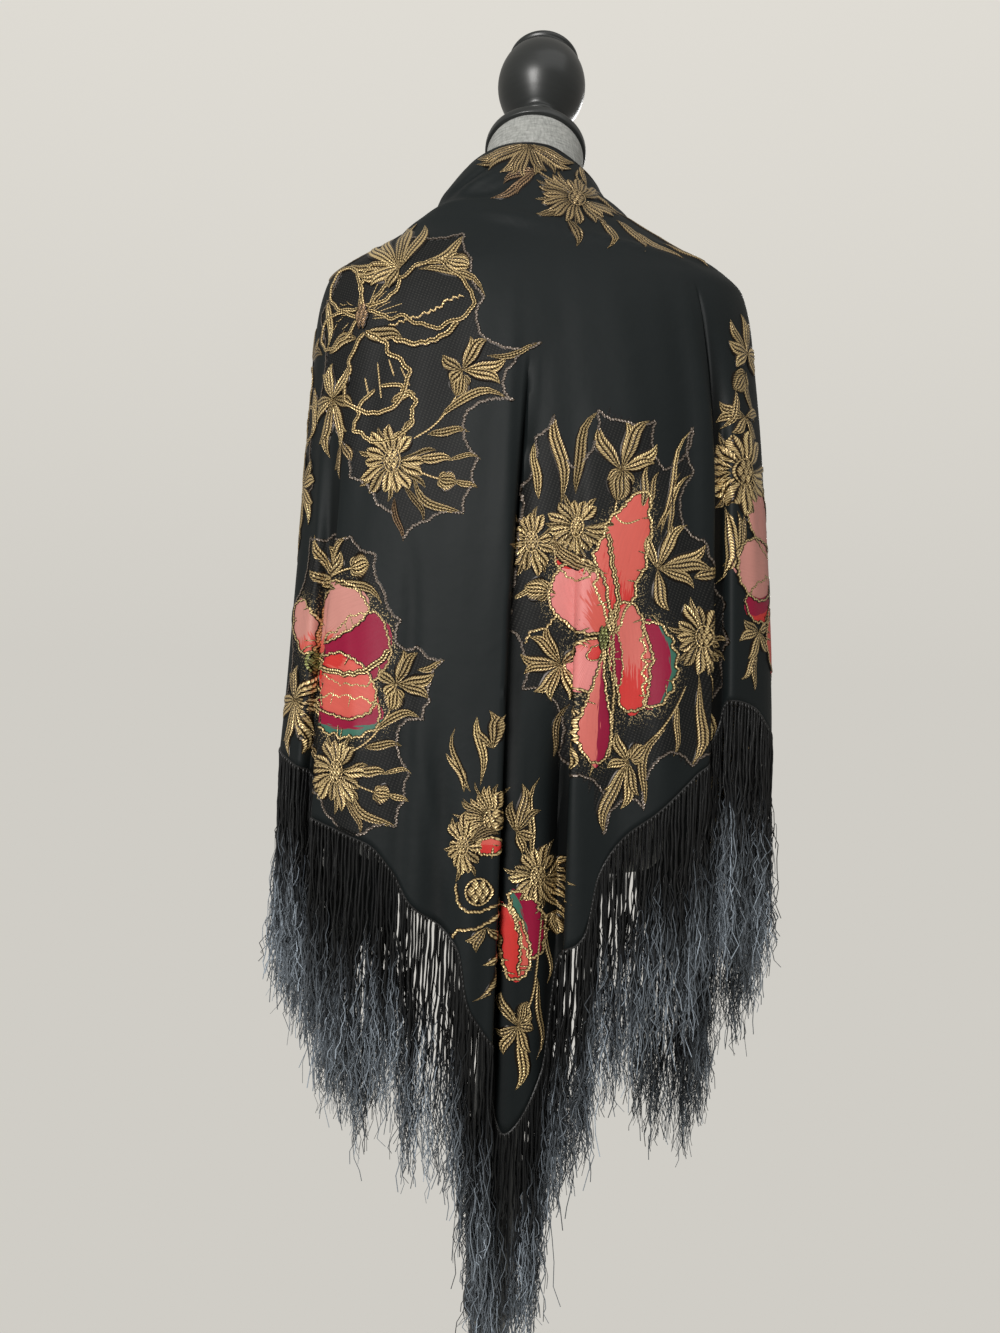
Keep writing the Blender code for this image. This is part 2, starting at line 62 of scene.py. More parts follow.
# ------------------------------------------------- dress form, cap and finial
# A papier-mache torso covered in grey linen, sewn in panels, with a turned and
# black-lacquered cap on its forward-leaning neck and a turned finial on that.
SHARP_EDGE = math.radians(50)    # least angle between faces that stays a hard edge
WELD = 0.00002                   # points closer than this are joined


class Value:
    """One output of a material's nodes, so that shader maths reads as plain expressions."""

    def __init__(self, finish, socket):
        self.finish = finish
        self.socket = socket

    def maths(self, operation, *others):
        inputs = dict(enumerate((self,) + others))
        return self.finish.node("ShaderNodeMath", {"operation": operation}, inputs)

    def __add__(self, other):
        return self.maths("ADD", other)

    def __sub__(self, other):
        return self.maths("SUBTRACT", other)

    def __mul__(self, other):
        return self.maths("MULTIPLY", other)


class Finish:
    """A material or a world, with every node of it made by one method."""

    def __init__(self, name, kind=bpy.data.materials, shader="Principled BSDF", **constants):
        self.owner = kind.new(name)
        self.owner.use_nodes = True
        self.tree = self.owner.node_tree
        self.shader = self.tree.nodes[shader]
        self.set({key.replace("_", " "): value for key, value in constants.items()})

    def set(self, inputs, node=None):
        """Links or sets inputs of a node, or else of the shader."""
        for key, value in inputs.items():
            socket = (node or self.shader).inputs[key]
            if isinstance(value, Value):
                self.tree.links.new(value.socket, socket)
            elif isinstance(value, tuple) and len(value) == 3 and len(socket.default_value) == 4:
                socket.default_value = (*value, 1.0)
            else:
                socket.default_value = value

    def node(self, kind, settings=None, inputs=None, output=0):
        node = self.tree.nodes.new(kind)
        for key, value in (settings or {}).items():
            if key == "stops":
                elements = node.color_ramp.elements
                while len(elements) < len(value):
                    elements.new(0.5)
                for element, (place, color) in zip(elements, value):
                    element.position = place
                    element.color = (*color, 1.0)
            else:
                setattr(node, key, value)
        self.set(inputs or {}, node)
        return Value(self, node.outputs[output])

    def place(self, scale=(1.0, 1.0, 1.0)):
        spot = self.node("ShaderNodeTexCoord", output="Object")
        return self.node("ShaderNodeMapping", None, {"Vector": spot, "Scale": scale})

    def attribute(self, name, output="Color"):
        return self.node("ShaderNodeAttribute", {"attribute_name": name}, output=output)

    def noise(self, where, scale, detail=2.0, rough=0.5):
        inputs = {"Vector": where, "Scale": scale, "Detail": detail, "Roughness": rough}
        return self.node("ShaderNodeTexNoise", None, inputs)

    def parts(self, vector):
        split = self.tree.nodes.new("ShaderNodeSeparateXYZ")
        self.set({0: vector}, split)
        return [Value(self, output) for output in split.outputs]

    def blend(self, share, low, high, how="MIX"):
        settings = {"data_type": "RGBA", "blend_type": how}
        return self.node("ShaderNodeMix", settings, {0: share, 6: low, 7: high}, 2)

    def bump(self, height, depth, strength=1.0):
        inputs = {"Height": height, "Distance": depth, "Strength": strength}
        return self.node("ShaderNodeBump", None, inputs)


def ride_piece(name, mesh, finish, stands_for=()):
    """Gives a mesh its finish and lets it ride on the one body, for the solids it stands for."""
    mesh.materials.append(finish.owner)
    piece = bpy.data.objects.new(name, mesh)
    bpy.context.scene.collection.objects.link(piece)
    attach(piece, "root")
    if stands_for:
        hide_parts(*stands_for)
    return piece


def finished_piece(name, shape, finish, stands_for):
    """Turns a bmesh into a smooth-shaded piece."""
    mesh = bpy.data.meshes.new(name)
    shape.to_mesh(mesh)
    shape.free()
    mesh.shade_smooth()
    mesh.set_sharp_from_angle(angle=SHARP_EDGE)
    return ride_piece(name, mesh, finish, stands_for)


def flat_grid(across, down):
    """A bmesh grid, with each point's shares across it and up it, from 0 to 1."""
    shape = bmesh.new()
    bmesh.ops.create_grid(shape, x_segments=across, y_segments=down, size=0.5)
    shape.verts.ensure_lookup_table()
    flat = np.array([v.co[:2] for v in shape.verts]) + 0.5
    return shape, flat[:, 0], flat[:, 1]


def smooth_curve(table, column, at):
    """Read one column of a table at any place, along a curve with no overshoot."""
    rows = sorted(table)
    places = np.array([row[0] for row in rows])
    values = np.array([row[column] for row in rows])
    steps = np.diff(places)
    slopes = np.diff(values) / steps
    inner = np.where(
        slopes[1:] * slopes[:-1] > 0,
        2 * slopes[1:] * slopes[:-1] / (slopes[1:] + slopes[:-1] + 1e-12),
        0.0,
    )
    tangents = np.concatenate(([slopes[0]], inner, [slopes[-1]]))
    at = np.clip(np.asarray(at, float), places[0], places[-1])
    index = np.clip(np.searchsorted(places, at) - 1, 0, len(steps) - 1)
    t = (at - places[index]) / steps[index]
    return (
        values[index] * (1 + 2 * t) * (1 - t) ** 2
        + tangents[index] * steps[index] * t * (1 - t) ** 2
        + values[index + 1] * t * t * (3 - 2 * t)
        + tangents[index + 1] * steps[index] * t * t * (t - 1)
    )


def squared_ring(across, forward, half_w, back, front, square):
    """A section between a circle and a square, from the sine and cosine of its turn."""
    x, y = (np.sign(share) * np.abs(share) ** (2.0 / square) for share in (across, forward))
    return half_w * x, (back + front) / 2 + y * (front - back) / 2


THREAD_SCALE = 260.0
SLUB_SCALES = ((70.0, 70.0, 620.0), (480.0, 480.0, 70.0))    # of thick threads, level and upright
BLOOM_SCALE = 45.0
LINEN_DEPTH = 0.0004             # of the weave's relief, in metres like all depths below
LINEN_SHADES = ((0.19, 0.20, 0.19), (0.56, 0.57, 0.55))
LINEN_BLOOM = (0.46, 0.46, 0.43)

linen = Finish("grey_linen", Roughness=0.92, Sheen_Weight=0.15)
threads_at = linen.place()
warp, weft = (
    linen.node("ShaderNodeTexWave", {"bands_direction": way}, {
        "Vector": threads_at, "Scale": THREAD_SCALE,
        "Distortion": 3.0, "Detail": 2.0, "Detail Scale": 2.0})
    for way in "ZX"
)
level, upright = (linen.noise(linen.place(scale), 1.0, 3.0, 0.6) for scale in SLUB_SCALES)
weave, slubs = warp * weft, level + upright - 1.0
linen_shade = linen.blend(weave * 0.25 + slubs * 1.7 + 0.42, *LINEN_SHADES)
linen.set({
    "Base Color": linen.blend(linen.noise(threads_at, BLOOM_SCALE, 3.0) * 0.35, linen_shade, LINEN_BLOOM),
    "Normal": linen.bump(weave + slubs * 0.6, LINEN_DEPTH, 0.7),
})

NECK_TILT = math.radians(22)
NECK_LEAN = math.radians(3)
NECK_TOP = (0.0035, 0.0415, 1.6170)
NECK_RADIUS = 0.0515
NECK_EDGE = 0.0012               # how much its rim is taken in
NECK_RINGS = (0.040, 0.030, 0.020, 0.010, 0.003, 0.000)    # down from the rim
TORSO_SIDES = 120
TORSO_RINGS = (
    # z      half_w  back    front  square
    (0.875, 0.1500, -0.0900, 0.0820, 2.1),
    (0.890, 0.1600, -0.0990, 0.0910, 2.2),
    (0.950, 0.1560, -0.0950, 0.0920, 2.2),
    (1.050, 0.1260, -0.0700, 0.0780, 2.1),
    (1.090, 0.1220, -0.0680, 0.0780, 2.1),
    (1.160, 0.1340, -0.0810, 0.0900, 2.2),
    (1.250, 0.1550, -0.0960, 0.1160, 2.3),
    (1.310, 0.1630, -0.1020, 0.1200, 2.3),
    (1.370, 0.1690, -0.1010, 0.0940, 2.3),
    (1.420, 0.1800, -0.0960, 0.0740, 2.3),
    (1.442, 0.1820, -0.0900, 0.0640, 2.2),
    (1.462, 0.1710, -0.0840, 0.0580, 2.1),
    (1.481, 0.1430, -0.0760, 0.0520, 2.0),
    (1.501, 0.1090, -0.0670, 0.0500, 2.0),
    (1.523, 0.0760, -0.0560, 0.0540, 2.0),
    (1.550, 0.0570, -0.0450, 0.0620, 2.0),
)
TORSO_RING_STEP = 0.006
SEAM_TURNS = (0.25, 0.31, 0.69, 0.75, 0.19, 0.81)   # seams, as shares of a turn from the right side
SEAM_WIDTH = 0.0035
SEAM_DEPTH = 0.0012

neck_frame = (
    Matrix.Translation(NECK_TOP)
    @ Matrix.Rotation(NECK_LEAN, 4, "Y")
    @ Matrix.Rotation(-NECK_TILT, 4, "X")
)
turn = np.linspace(0, 2 * math.pi, TORSO_SIDES, endpoint=False)
rings = []
for z in np.arange(TORSO_RINGS[0][0], TORSO_RINGS[-1][0] + 0.001, TORSO_RING_STEP):
    section = [float(smooth_curve(TORSO_RINGS, column, z)) for column in range(1, 5)]
    x, y = squared_ring(np.cos(turn), np.sin(turn), *section)
    pinch = np.zeros_like(turn)
    for seam in SEAM_TURNS:
        away = (turn / (2 * math.pi) - seam + 0.5) % 1.0 - 0.5
        pinch += np.exp(-((away * 2 * math.pi * section[0] / SEAM_WIDTH) ** 2))
    shrink = 1 - np.clip(pinch, 0, 1) * SEAM_DEPTH / section[0]
    rings.append(np.stack((x * shrink, y * shrink, np.full_like(x, z)), axis=1))
for down in NECK_RINGS:
    radius = NECK_RADIUS if down else NECK_RADIUS - NECK_EDGE
    ring = [Vector((radius * math.cos(a), radius * math.sin(a), -down)) for a in turn]
    rings.append(np.array([neck_frame @ point for point in ring]))

shape, across, up = flat_grid(TORSO_SIDES, len(rings) - 1)
side, ring = (np.rint(share).astype(int) for share in (across * TORSO_SIDES, up * (len(rings) - 1)))
for v, place in zip(shape.verts, np.array(rings)[ring, side % TORSO_SIDES]):
    v.co = place
bmesh.ops.remove_doubles(shape, verts=shape.verts, dist=WELD)
bmesh.ops.holes_fill(shape, edges=[edge for edge in shape.edges if edge.is_boundary], sides=0)
bmesh.ops.recalc_face_normals(shape, faces=shape.faces)
finished_piece("linen_torso", shape, linen, ["form_torso"])

GRAIN_SCALE = (40.0, 40.0, 260.0)
GRAIN_DEPTH = 0.0002
RUBBED_SCALE = 18.0
LACQUER_BLACKS = ((0.011, 0.013, 0.013), (0.024, 0.027, 0.027))

lacquer = Finish("black_lacquered_wood", Coat_Weight=0.35, Coat_Roughness=0.25)
grain = lacquer.noise(lacquer.place(GRAIN_SCALE), 1.0, 4.0, 0.6)
wear = lacquer.noise(lacquer.place(), RUBBED_SCALE, 3.0)
lacquer.set({
    "Base Color": lacquer.blend(grain, *LACQUER_BLACKS),
    "Roughness": wear * 0.22 + 0.28,
    "Normal": lacquer.bump(grain, GRAIN_DEPTH, 0.35),
})

CAP_RADIUS = 0.0540
CAP_THICKNESS = 0.0110
SEAM_GAP = 0.0003
CAP_PROFILE = (
    (0, 0), (CAP_RADIUS - 0.0018, 0), (CAP_RADIUS - 0.0005, 0.0005), (CAP_RADIUS, 0.0018),
    (CAP_RADIUS, CAP_THICKNESS - 0.0040), (CAP_RADIUS - 0.0008, CAP_THICKNESS - 0.0018),
    (CAP_RADIUS - 0.0030, CAP_THICKNESS - 0.0004), (CAP_RADIUS - 0.0050, CAP_THICKNESS),
    (0, CAP_THICKNESS),
)
FINIAL_PROFILE = (
    # radius, height
    (0, 0), (0.03, 0), (0.031, 0.004), (0.026, 0.009), (0.017, 0.016),
    (0.015, 0.024), (0.019, 0.03), (0.025, 0.034), (0.025, 0.039), (0.02, 0.043),
    (0.028, 0.05), (0.042, 0.066), (0.048, 0.083), (0.0485, 0.097), (0.045, 0.112),
    (0.0385, 0.122), (0.037, 0.125), (0.0395, 0.1275), (0.039, 0.132), (0.027, 0.14),
    (0.012, 0.1435), (0, 0.1445),
)
TURNED_STEPS = 96


def turned_piece(name, profile, frame_at, stands_for, rounded=2):
    """A turned piece: its profile rounded, then spun once round the axis."""
    corners = [Vector((r, 0.0, z)) for r, z in profile]
    for _ in range(rounded):
        softer = [corners[0]]
        for a, b in zip(corners, corners[1:]):
            softer += [a.lerp(b, 0.25), a.lerp(b, 0.75)]
        softer.append(corners[-1])
        corners = softer
    shape = bmesh.new()
    rim = [shape.verts.new(corner) for corner in corners]
    edges = [shape.edges.new(pair) for pair in zip(rim, rim[1:])]
    bmesh.ops.spin(shape, geom=rim + edges, cent=(0, 0, 0), axis=(0, 0, 1),
                   angle=2 * math.pi, steps=TURNED_STEPS, use_merge=True)
    bmesh.ops.remove_doubles(shape, verts=shape.verts, dist=WELD)
    bmesh.ops.recalc_face_normals(shape, faces=shape.faces)
    bmesh.ops.transform(shape, matrix=frame_at, verts=shape.verts)
    finished_piece(name, shape, lacquer, stands_for)


turned_piece("turned_cap", CAP_PROFILE, neck_frame @ Matrix.Translation((0, 0, SEAM_GAP)),
             ["neck_cap"], rounded=1)
turned_piece("turned_finial", FINIAL_PROFILE,
             neck_frame @ Matrix.Translation((0, 0, CAP_THICKNESS + 2 * SEAM_GAP)), ["finial"])

# ------------------------------------------------------------- post and base
# A turned baluster post under the form, on a heavy turned base with a flat
# underside, both lacquered black like the cap.
BASE_PROFILE = (
    (0, 0), (0.198, 0), (0.2, 0.003), (0.2, 0.018), (0.195, 0.024),
    (0.18, 0.027), (0.175, 0.033), (0.12, 0.042), (0.06, 0.05), (0.04, 0.056),
    (0, 0.056),
)
POST_PROFILE = (
    (0, 0.0563), (0.034, 0.0563), (0.035, 0.07), (0.024, 0.082), (0.02, 0.1),
    (0.026, 0.16), (0.028, 0.26), (0.024, 0.35), (0.019, 0.4), (0.027, 0.41),
    (0.029, 0.42), (0.027, 0.43), (0.023, 0.44), (0.028, 0.47), (0.0295, 0.51),
    (0.024, 0.62), (0.019, 0.8), (0.02, 0.845), (0.048, 0.86), (0.048, 0.8747),
    (0, 0.8747),
)
turned_piece("turned_base", BASE_PROFILE, Matrix.Identity(4), ["stand_base"])
turned_piece("turned_post", POST_PROFILE, Matrix.Identity(4), ["stand_post"])

# -------------------------------------------------------------- shawl cloth
# A 1.4 m square of black silk crepe, folded on its diagonal and hung round the
# shoulders: it stands up round the neck, turns over the shoulders in one soft
# ridge and hangs in loose pleats, with its point down the back.
HALF_SPAN = 0.575                # reference way round from the middle of the back to a front edge
CLOTH_THICKNESS = 0.0010
CLOTH_LIFT = 0.0005              # outer face of the cloth over its middle surface
CLOTH_COLUMNS = 396
CLOTH_ROWS = 118
NET_PITCH = 0.0042               # of the gold dots in the net ground
SECTIONS = (
    # z      half_w  mid_x   back    front  square  left_x right_x
    (1.595,  0.0560, 0.001, -0.036,  0.088,  2.0,   0.050, 0.048),
    (1.575,  0.0700, -0.005, -0.045, 0.082,  2.0,   0.054, 0.050),
    (1.550,  0.0850, -0.006, -0.056, 0.074,  2.0,   0.058, 0.054),
    (1.528,  0.1005, 0.000, -0.066,  0.068,  2.0,   0.062, 0.058),
    (1.508,  0.1245, 0.001, -0.076,  0.064,  2.1,   0.065, 0.061),
    (1.492,  0.1450, 0.007, -0.083,  0.064,  2.1,   0.068, 0.064),
    (1.479,  0.1645, 0.008, -0.089,  0.066,  2.2,   0.070, 0.067),
    (1.466,  0.1855, 0.010, -0.095,  0.070,  2.3,   0.072, 0.070),
    (1.444,  0.2085, 0.008, -0.103,  0.080,  2.6,   0.077, 0.075),
    (1.400,  0.2195, 0.009, -0.112,  0.104,  2.6,   0.082, 0.083),
    (1.300,  0.2285, 0.013, -0.121,  0.142,  2.7,   0.090, 0.098),
    (1.180,  0.2345, 0.016, -0.126,  0.150,  2.7,   0.100, 0.115),
    (1.050,  0.2425, 0.018, -0.128,  0.152,  2.7,   0.108, 0.132),
    (0.900,  0.2500, 0.015, -0.131,  0.155,  2.7,   0.118, 0.150),
    (0.640,  0.2640, 0.014, -0.134,  0.160,  2.7,   0.132, 0.172),
)
TOP_EDGE = (
    # way round, height
    (-0.575, 1.547), (-0.3, 1.582), (-0.09, 1.59), (0.06, 1.588),
    (0.22, 1.575), (0.4, 1.557), (0.575, 1.541),
)
HEM = (
    # way round, height
    (-0.575, 0.8), (-0.535, 0.738), (-0.49, 0.805), (-0.44, 0.893), (-0.38, 0.955),
    (-0.31, 0.982), (-0.262, 0.972), (-0.238, 0.96), (-0.212, 0.922), (-0.18, 0.914),
    (-0.145, 0.904), (-0.121, 0.883), (-0.098, 0.852), (-0.062, 0.83), (-0.046, 0.812),
    (-0.036, 0.768), (-0.014, 0.73), (-0.003, 0.658), (0.004, 0.646), (0.04, 0.7),
    (0.053, 0.806), (0.076, 0.832), (0.087, 0.884), (0.112, 0.92), (0.141, 0.942),
    (0.18, 0.976), (0.204, 1.002), (0.222, 1.046), (0.248, 1.04), (0.275, 1.02),
    (0.33, 1), (0.4, 0.955), (0.46, 0.868), (0.51, 0.775), (0.54, 0.738),
    (0.575, 0.8),
)
PLEAT_SOFTNESS = 0.010           # how much softer a pleat's edges are at its top
PLEATS = (
    # left_top left_hem right_top right_hem z_top z_full depth edge
    (0.000, -0.012, 0.058, 0.059, 1.360, 1.040, 0.0150, 0.0036),
    (-0.226, -0.246, -0.202, -0.216, 1.400, 1.080, 0.0140, 0.0056),
    (0.196, 0.194, 0.214, 0.219, 1.450, 1.250, 0.0130, 0.0060),
    (-0.372, -0.378, -0.344, -0.336, 1.380, 1.080, 0.0230, 0.0090),
    (-0.478, -0.488, -0.452, -0.448, 1.320, 1.020, 0.0190, 0.0090),
    (0.330, 0.328, 0.362, 0.372, 1.390, 1.100, 0.0230, 0.0090),
    (0.440, 0.446, 0.470, 0.486, 1.290, 1.020, 0.0190, 0.0090),
)
SOFT_FOLDS = (
    # s_top  s_hem   z_top  z_full  height   half_width
    (0.039, 0.046, 1.100, 0.920, -0.0105, 0.0120),
    (0.008, 0.006, 1.060, 0.940, 0.0030, 0.0090),
    (-0.076, -0.072, 1.080, 0.900, -0.0060, 0.0150),
    (-0.040, -0.036, 1.000, 0.850, 0.0050, 0.0130),
    (-0.124, -0.112, 1.240, 1.120, -0.0030, 0.0100),
    (-0.165, -0.160, 1.200, 1.000, 0.0040, 0.0220),
    (0.118, 0.100, 1.260, 0.960, -0.0040, 0.0200),
    (0.150, 0.145, 1.200, 1.020, 0.0030, 0.0180),
    (-0.285, -0.290, 1.380, 1.100, 0.0050, 0.0260),
    (-0.415, -0.412, 1.300, 1.050, 0.0080, 0.0240),
    (-0.535, -0.530, 1.300, 1.050, 0.0070, 0.0240),
    (0.270, 0.272, 1.400, 1.120, 0.0040, 0.0240),
    (0.402, 0.408, 1.300, 1.050, 0.0080, 0.0240),
    (0.525, 0.532, 1.300, 1.050, 0.0070, 0.0240),
)
# Fine creases: a soft ridge (height above 0) or trough along a line, tapered at both ends.
CREASES = (
    # s_from z_from  s_to   z_to   height   half_width
    (-0.300, 1.520, -0.120, 1.520, 0.0050, 0.0065),
    (-0.120, 1.506, 0.060, 1.486, 0.0046, 0.0070),
    (0.040, 1.486, 0.220, 1.460, 0.0052, 0.0060),
    (0.200, 1.484, 0.290, 1.462, 0.0030, 0.0060),
    (-0.270, 1.536, -0.120, 1.570, -0.0040, 0.0050),
    (-0.240, 1.530, -0.090, 1.556, 0.0034, 0.0045),
    (-0.200, 1.524, -0.060, 1.534, -0.0036, 0.0050),
    (0.180, 1.530, 0.330, 1.505, -0.0022, 0.0050),
    (0.220, 1.545, 0.400, 1.520, 0.0022, 0.0050),
    (-0.160, 1.470, -0.178, 1.180, -0.0016, 0.0120),
    (-0.115, 1.480, -0.118, 1.130, 0.0016, 0.0140),
    (-0.070, 1.490, -0.080, 1.160, -0.0014, 0.0160),
    (-0.020, 1.430, -0.014, 1.100, 0.0018, 0.0100),
    (0.030, 1.480, 0.046, 1.230, -0.0012, 0.0180),
    (0.090, 1.470, 0.120, 1.200, 0.0012, 0.0160),
    (0.160, 1.450, 0.166, 1.180, -0.0018, 0.0120),
    (0.180, 1.440, 0.184, 1.060, 0.0020, 0.0080),
    (-0.200, 1.150, -0.150, 0.930, 0.0016, 0.0070),
    (-0.100, 1.010, -0.060, 0.860, 0.0022, 0.0060),
    (0.060, 1.000, 0.070, 0.830, 0.0020, 0.0060),
    (0.120, 1.060, 0.140, 0.950, -0.0018, 0.0080),
    (-0.260, 1.440, -0.262, 1.050, -0.0020, 0.0120),
    (-0.320, 1.440, -0.322, 1.020, 0.0030, 0.0120),
    (0.240, 1.420, 0.246, 1.080, 0.0022, 0.0100),
    (0.300, 1.440, 0.300, 1.050, -0.0026, 0.0120),
    (-0.440, 1.430, -0.436, 1.080, -0.0028, 0.0110),
    (-0.510, 1.440, -0.512, 1.000, 0.0028, 0.0120),
    (0.380, 1.440, 0.384, 1.040, 0.0030, 0.0110),
    (0.500, 1.420, 0.506, 0.990, -0.0028, 0.0120),
    (0.018, 1.370, 0.000, 1.080, -0.0030, 0.0090),
    (-0.012, 1.380, -0.030, 1.080, 0.0012, 0.0090),
    # sharp tucks along the pleats that show most
    (0.003, 1.350, -0.0125, 1.030, -0.0130, 0.0022),
    (-0.0115, 1.130, -0.004, 0.640, -0.0150, 0.0022),
    (0.048, 1.030, 0.052, 0.760, -0.0080, 0.0040),
    (0.200, 1.430, 0.200, 1.020, -0.0100, 0.0022),
)
OVERHANG = 0.0042                # how far a pleat's upper edge leans over its trough
UNDERCUT = 0.0034                # how far the trough's foot runs back under that edge
EDGE_REACH = 0.9                 # half width of both, as a share of the edge's softness


def ease(low, high, at):
    """0 up to low, 1 from high on, and a soft step between."""
    t = np.clip((at - low) / (high - low), 0.0, 1.0)
    return t * t * (3 - 2 * t)


def hump(at, middle, half_width):
    return np.exp(-(((at - middle) / half_width) ** 2))


def fold_moves(s, z):
    """How far the folds move the cloth out of its plain section, and along it."""
    out, along = np.zeros_like(s), np.zeros_like(s)
    for left_top, left_hem, right_top, right_hem, z_top, z_full, depth, edge in PLEATS:
        down = np.clip((z_top - z) / (z_top - z_full), 0.0, 1.0)
        left = left_top + (left_hem - left_top) * down
        right = right_top + (right_hem - right_top) * down
        soft = edge + PLEAT_SOFTNESS * (1 - down)
        fall = ease(0.0, 1.0, down)
        reach = EDGE_REACH * soft
        out -= depth * fall * (ease(left - soft, left + soft, s) - ease(right - soft, right + soft, s))
        lean = hump(s, left - soft / 2, reach) - hump(s, right + soft / 2, reach)
        tuck = hump(s, left + reach, reach) - hump(s, right - reach, reach)
        along += fall ** 2 * (OVERHANG * lean - UNDERCUT * tuck)
    for s_top, s_hem, z_top, z_full, height, half_width in SOFT_FOLDS:
        down = np.clip((z_top - z) / (z_top - z_full), 0.0, 1.0)
        out += height * ease(0.0, 1.0, down) * hump(s, s_top + (s_hem - s_top) * down, half_width)
    for s_from, z_from, s_to, z_to, height, half_width in CREASES:
        run_s, run_z = s_to - s_from, z_to - z_from
        length = math.hypot(run_s, run_z)
        share = np.clip(((s - s_from) * run_s + (z - z_from) * run_z) / length ** 2, 0.0, 1.0)
        away = np.hypot(s - s_from - share * run_s, z - z_from - share * run_z)
        out += height * np.sin(math.pi * (0.04 + 0.92 * share)) * hump(away, 0.0, half_width)
    return out, along


LEVELS = np.linspace(0.630, 1.600, 647)
SHARES = np.linspace(-1.0, 1.0, 2401)
SECTION_POINTS = 6001
BACK_DEPTH = 0.02                # in which the middle of the back is looked for
around = np.linspace(-math.pi, math.pi, SECTION_POINTS)
plain = np.empty((len(LEVELS), len(SHARES), 2))
half_round = np.empty((len(LEVELS), 2))
for row, z in enumerate(LEVELS):
    half_w, mid_x, back, front, square, left_x, right_x = (
        float(smooth_curve(SECTIONS, column, z)) for column in range(1, 8)
    )
    x, y = squared_ring(np.sin(around), -np.cos(around), half_w, back, front, square)
    kept = (np.abs(around) <= math.pi / 2) | (x < -left_x - mid_x) | (x > right_x - mid_x)
    x, y = x[kept] + mid_x, y[kept]
    way = np.concatenate(([0.0], np.cumsum(np.hypot(np.diff(x), np.diff(y)))))
    near_back = y < back + BACK_DEPTH
    way -= np.interp(0.0, x[near_back], way[near_back])
    at = np.where(SHARES < 0, -SHARES * way[0], SHARES * way[-1])
    plain[row, :, 0] = np.interp(at, way, x)
    plain[row, :, 1] = np.interp(at, way, y)
    half_round[row] = -way[0], way[-1]
heading = np.gradient(plain, axis=1)
heading /= np.linalg.norm(heading, axis=2, keepdims=True)
moved_out, moved_along = fold_moves(*np.meshgrid(SHARES * HALF_SPAN, LEVELS))
surface = np.empty((len(LEVELS), len(SHARES), 3))
surface[..., 0] = plain[..., 0] + heading[..., 1] * moved_out + heading[..., 0] * moved_along
surface[..., 1] = plain[..., 1] - heading[..., 0] * moved_out + heading[..., 1] * moved_along
surface[..., 2] = LEVELS[:, None]
outward = np.cross(np.gradient(surface, axis=1), np.gradient(surface, axis=0))
outward /= np.linalg.norm(outward, axis=2, keepdims=True)


def read_table(table, share, z):
    """A table over levels and shares, read between its points."""
    row = np.clip((z - LEVELS[0]) / (LEVELS[1] - LEVELS[0]), 0, len(LEVELS) - 1.001)
    column = np.clip((share + 1) / (SHARES[1] - SHARES[0]), 0, len(SHARES) - 1.001)
    r, c = row.astype(int), column.astype(int)
    up, on = (row - r)[..., None], (column - c)[..., None]
    low = table[r, c] * (1 - on) + table[r, c + 1] * on
    high = table[r + 1, c] * (1 - on) + table[r + 1, c + 1] * on
    return low * (1 - up) + high * up


def on_cloth(share, z, lift):
    """Places on the draped cloth, lifted off its middle surface."""
    return read_table(surface, share, z) + read_table(outward, share, z) * np.asarray(lift)[..., None]


def half_round_at(way, z):
    """The way from the middle of the back to the front edge that lies on each way's side."""
    left, right = (np.interp(z, LEVELS, half_round[:, side]) for side in (0, 1))
    return np.where(way < 0, left, right)


def edges_at(share):
    """Heights of the cloth's top edge and of its hem."""
    return (smooth_curve(table, 1, share * HALF_SPAN) for table in (TOP_EDGE, HEM))


def point_values(mesh, name, values):
    mesh.attributes.new(name, "FLOAT", "POINT").data.foreach_set("value", values)


def point_colours(mesh, name, colours):
    rgba = np.concatenate((colours, np.ones((len(colours), 1))), axis=1)
    mesh.attributes.new(name, "FLOAT_COLOR", "POINT").data.foreach_set("color", rgba.ravel())


CROWD_LEVELS = (1.30, 1.15, 1.00, 0.85)    # heights at which steep cloth draws columns to it
CROWD_RATE = 1.4
CROWD_LIMIT = 4.5
ROW_CROWDING = 1.25              # rows lie closer together towards the hem
fine = np.linspace(-1.0, 1.0, 4001)
crowding = np.ones_like(fine)
for z in CROWD_LEVELS:
    moves = fold_moves(fine * HALF_SPAN, np.full_like(fine, z))
    out_slope, along_slope = (np.abs(np.gradient(move, fine * HALF_SPAN)) for move in moves)
    crowding += CROWD_RATE * np.minimum(out_slope + along_slope, CROWD_LIMIT)
crowd_way = np.concatenate(([0.0], np.cumsum((crowding[1:] + crowding[:-1]) / 2)))

shape, across, up = flat_grid(CLOTH_COLUMNS, CLOTH_ROWS)
share = np.interp(across * crowd_way[-1], crowd_way, fine)
top, hem = edges_at(share)
height = top + (hem - top) * (1 - up) ** ROW_CROWDING
for v, place in zip(shape.verts, on_cloth(share, height, CLOTH_LIFT)):
    v.co = place
cloth_uv = np.stack((share * half_round_at(share, height), height), axis=1)
uv_layer = shape.loops.layers.uv.new("cloth")
for face in shape.faces:
    for corner in face.loops:
        corner[uv_layer].uv = cloth_uv[corner.vert.index]

# painted shade: cloth that lies deep between two folds gets no light, so its colour is darkened there
BESIDE = 0.020                   # how far off the folds on both sides are looked for
SHADED_FROM = 0.002              # depth below them at which the shade begins
SHADED_OVER = 0.009              # and over which it deepens
before, here, after = (fold_moves(share * HALF_SPAN + off, height)[0] for off in (-BESIDE, 0.0, BESIDE))
fold_shade_painted = np.clip(((before + after) / 2 - here - SHADED_FROM) / SHADED_OVER, 0.0, 1.0)

